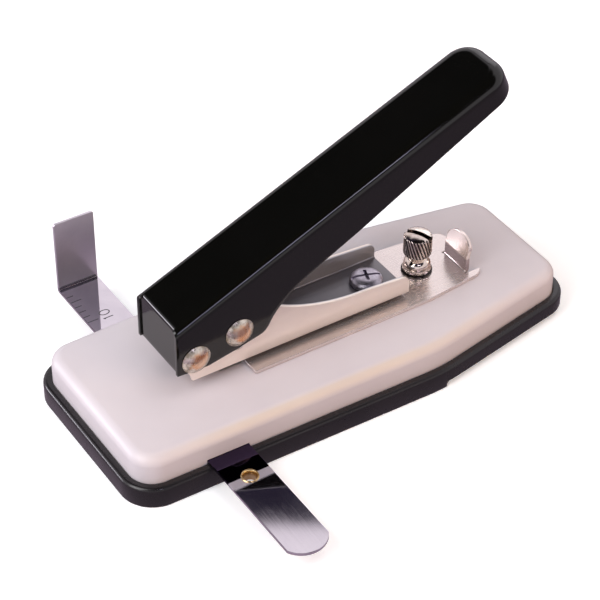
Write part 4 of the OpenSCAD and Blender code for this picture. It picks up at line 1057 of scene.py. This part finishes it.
STRIP_TOP = STRIP_LOW + STRIP_T
BARREL = ((2.2, -2.6), (2.66, -2.63), (2.95, -0.75), (3.1, -0.05), (2.6, -0.05))
ROLLED_RIM = ((2.6, 0.05), (3.1, 0.05), (3.08, 0.22), (2.95, 0.35), (2.8, 0.38), (2.64, 0.32),
              (2.5, 0.1), (2.3, -0.4))
ring_line = [(r, STRIP_LOW + h) for r, h in BARREL] + [(r, STRIP_TOP + h) for r, h in ROLLED_RIM]
ring_line += ring_line[:1]
body, faces = turned(ring_line, 60)
eyelet = make_object("brass_eyelet", body + [STRIP_X, EYE_Y, 0], faces)
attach(eyelet, "side_guide")
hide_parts("stop_eyelet")
brass = plated("eyelet_brass", (0.62, 0.44, 0.20), (0.76, 0.58, 0.32), (0.18, 0.30),
               (900, 900, 900), 300, 0.00001)
paint(eyelet, brass)

# ---- Scale marks ---------------------------------------------------------------------
# Printed dark marks of the side guide's scale, an eighth of an inch apart, and the figure at
# the long one. They are a thin film of ink on the strip's upper face.

def ink_strokes(name, strokes, width, level):
    """A film of ink: each stroke (x0, y0, x1, y1) as a thin slab of that width."""
    points, faces = [], []
    for x0, y0, x1, y1 in strokes:
        a, b = np.array([x0, y0]), np.array([x1, y1])
        side = unit(b - a)[::-1] * [-1, 1] * width / 2
        flat = np.array([a - side, b - side, b + side, a + side])
        start = len(points)
        points += [[*p, z] for z in (level, level + 0.02) for p in flat]
        faces += [[start + i for i in f] for f in
                  ((3, 2, 1, 0), (4, 5, 6, 7), (0, 1, 5, 4), (1, 2, 6, 5), (2, 3, 7, 6), (3, 0, 4, 7))]
    return make_object(name, points, faces, weld=0)


EIGHTH, FIRST_MARK = 3.175, 47.3
edge_x = STRIP_X - STRIP_HALF + 0.25
strokes = []
for k in range(6):
    y = FIRST_MARK + k * EIGHTH
    strokes.append((edge_x, y, edge_x + (4.2 if k % 4 == 0 else 2.6), y))
# The figure: a one and a nought of straight strokes
figure = [(-58.0, 46.3, -54.2, 46.3), (-57.2, 45.9, -58.0, 46.3)]
zero = arc((0, 0), 1, 0, 360, 17) * [1.9, 1.25] + [STRIP_X, 49.3]
figure += [(*zero[i], *zero[i + 1]) for i in range(16)]
marks = ink_strokes("scale_marks", strokes + figure, 0.34, STRIP_TOP + 0.005)
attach(marks, "side_guide")
ink = coated("scale_ink", (0.020, 0.018, 0.024), (0.035, 0.032, 0.040), (0.45, 0.62), 2500, 0.000005)
paint(marks, ink)

# ---- Punch, springs and small steel parts --------------------------------------------
# The ram is a milled steel block on two coil springs; the hardened blade is pinned in it.
# The leaf spring inside the base drags on the strip.

dress("punch_ram", bar_steel)
dress("punch_blade", tool_steel)
spring_steel = plated("spring_steel", (0.34, 0.34, 0.36), (0.46, 0.46, 0.48), (0.20, 0.34),
                      (1500, 1500, 1500), 300, 0.00001)
dress("strip_spring", spring_steel)

# A point of the wire is the helix point + wire radius x (outward x cos + square to it x sin)
SPRING_R, WIRE_R, TURNS, SPRING_LOW, SPRING_HIGH, SPRING_OFF = 2.1, 0.4, 7, 23.4, 39.4, 7.4
TURN_POINTS, WIRE_POINTS = 36, 12
count = TURNS * TURN_POINTS
turn = np.linspace(0, 1, count + 1)
climb = SPRING_HIGH - SPRING_LOW - 2 * WIRE_R
around, tube = 2 * pi * TURNS * turn, np.linspace(0, 2 * pi, WIRE_POINTS, endpoint=False)
pitch = climb / (2 * pi * TURNS)
length = sqrt(SPRING_R ** 2 + pitch ** 2)
out_way = np.stack([np.cos(around), np.sin(around), around * 0], 1)
up_way = np.stack([np.sin(around) * pitch, -np.cos(around) * pitch, around * 0 + SPRING_R], 1) / length
centre_line = SPRING_R * out_way + np.outer(SPRING_LOW + WIRE_R + climb * turn, [0, 0, 1])
coil = centre_line[:, None] + WIRE_R * (np.cos(tube)[None, :, None] * out_way[:, None]
                                        + np.sin(tube)[None, :, None] * up_way[:, None])
one = coil.reshape(-1, 3)
caps = [list(range(WIRE_POINTS))[::-1], [len(one) - WIRE_POINTS + i for i in range(WIRE_POINTS)]]
faces = grid_faces(count + 1, WIRE_POINTS, loop_cols=True) + caps
both = [[i + k * len(one) for i in f] for k in (0, 1) for f in faces]
pair = np.concatenate([one + [DRIVE[0] - SPRING_OFF, 0, 0], one + [DRIVE[0] + SPRING_OFF, 0, 0]])
springs = make_object("return_coils", pair, both, keep_smooth=50)
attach(springs, "base")
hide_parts("return_springs")
paint(springs, spring_steel)
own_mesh(springs)
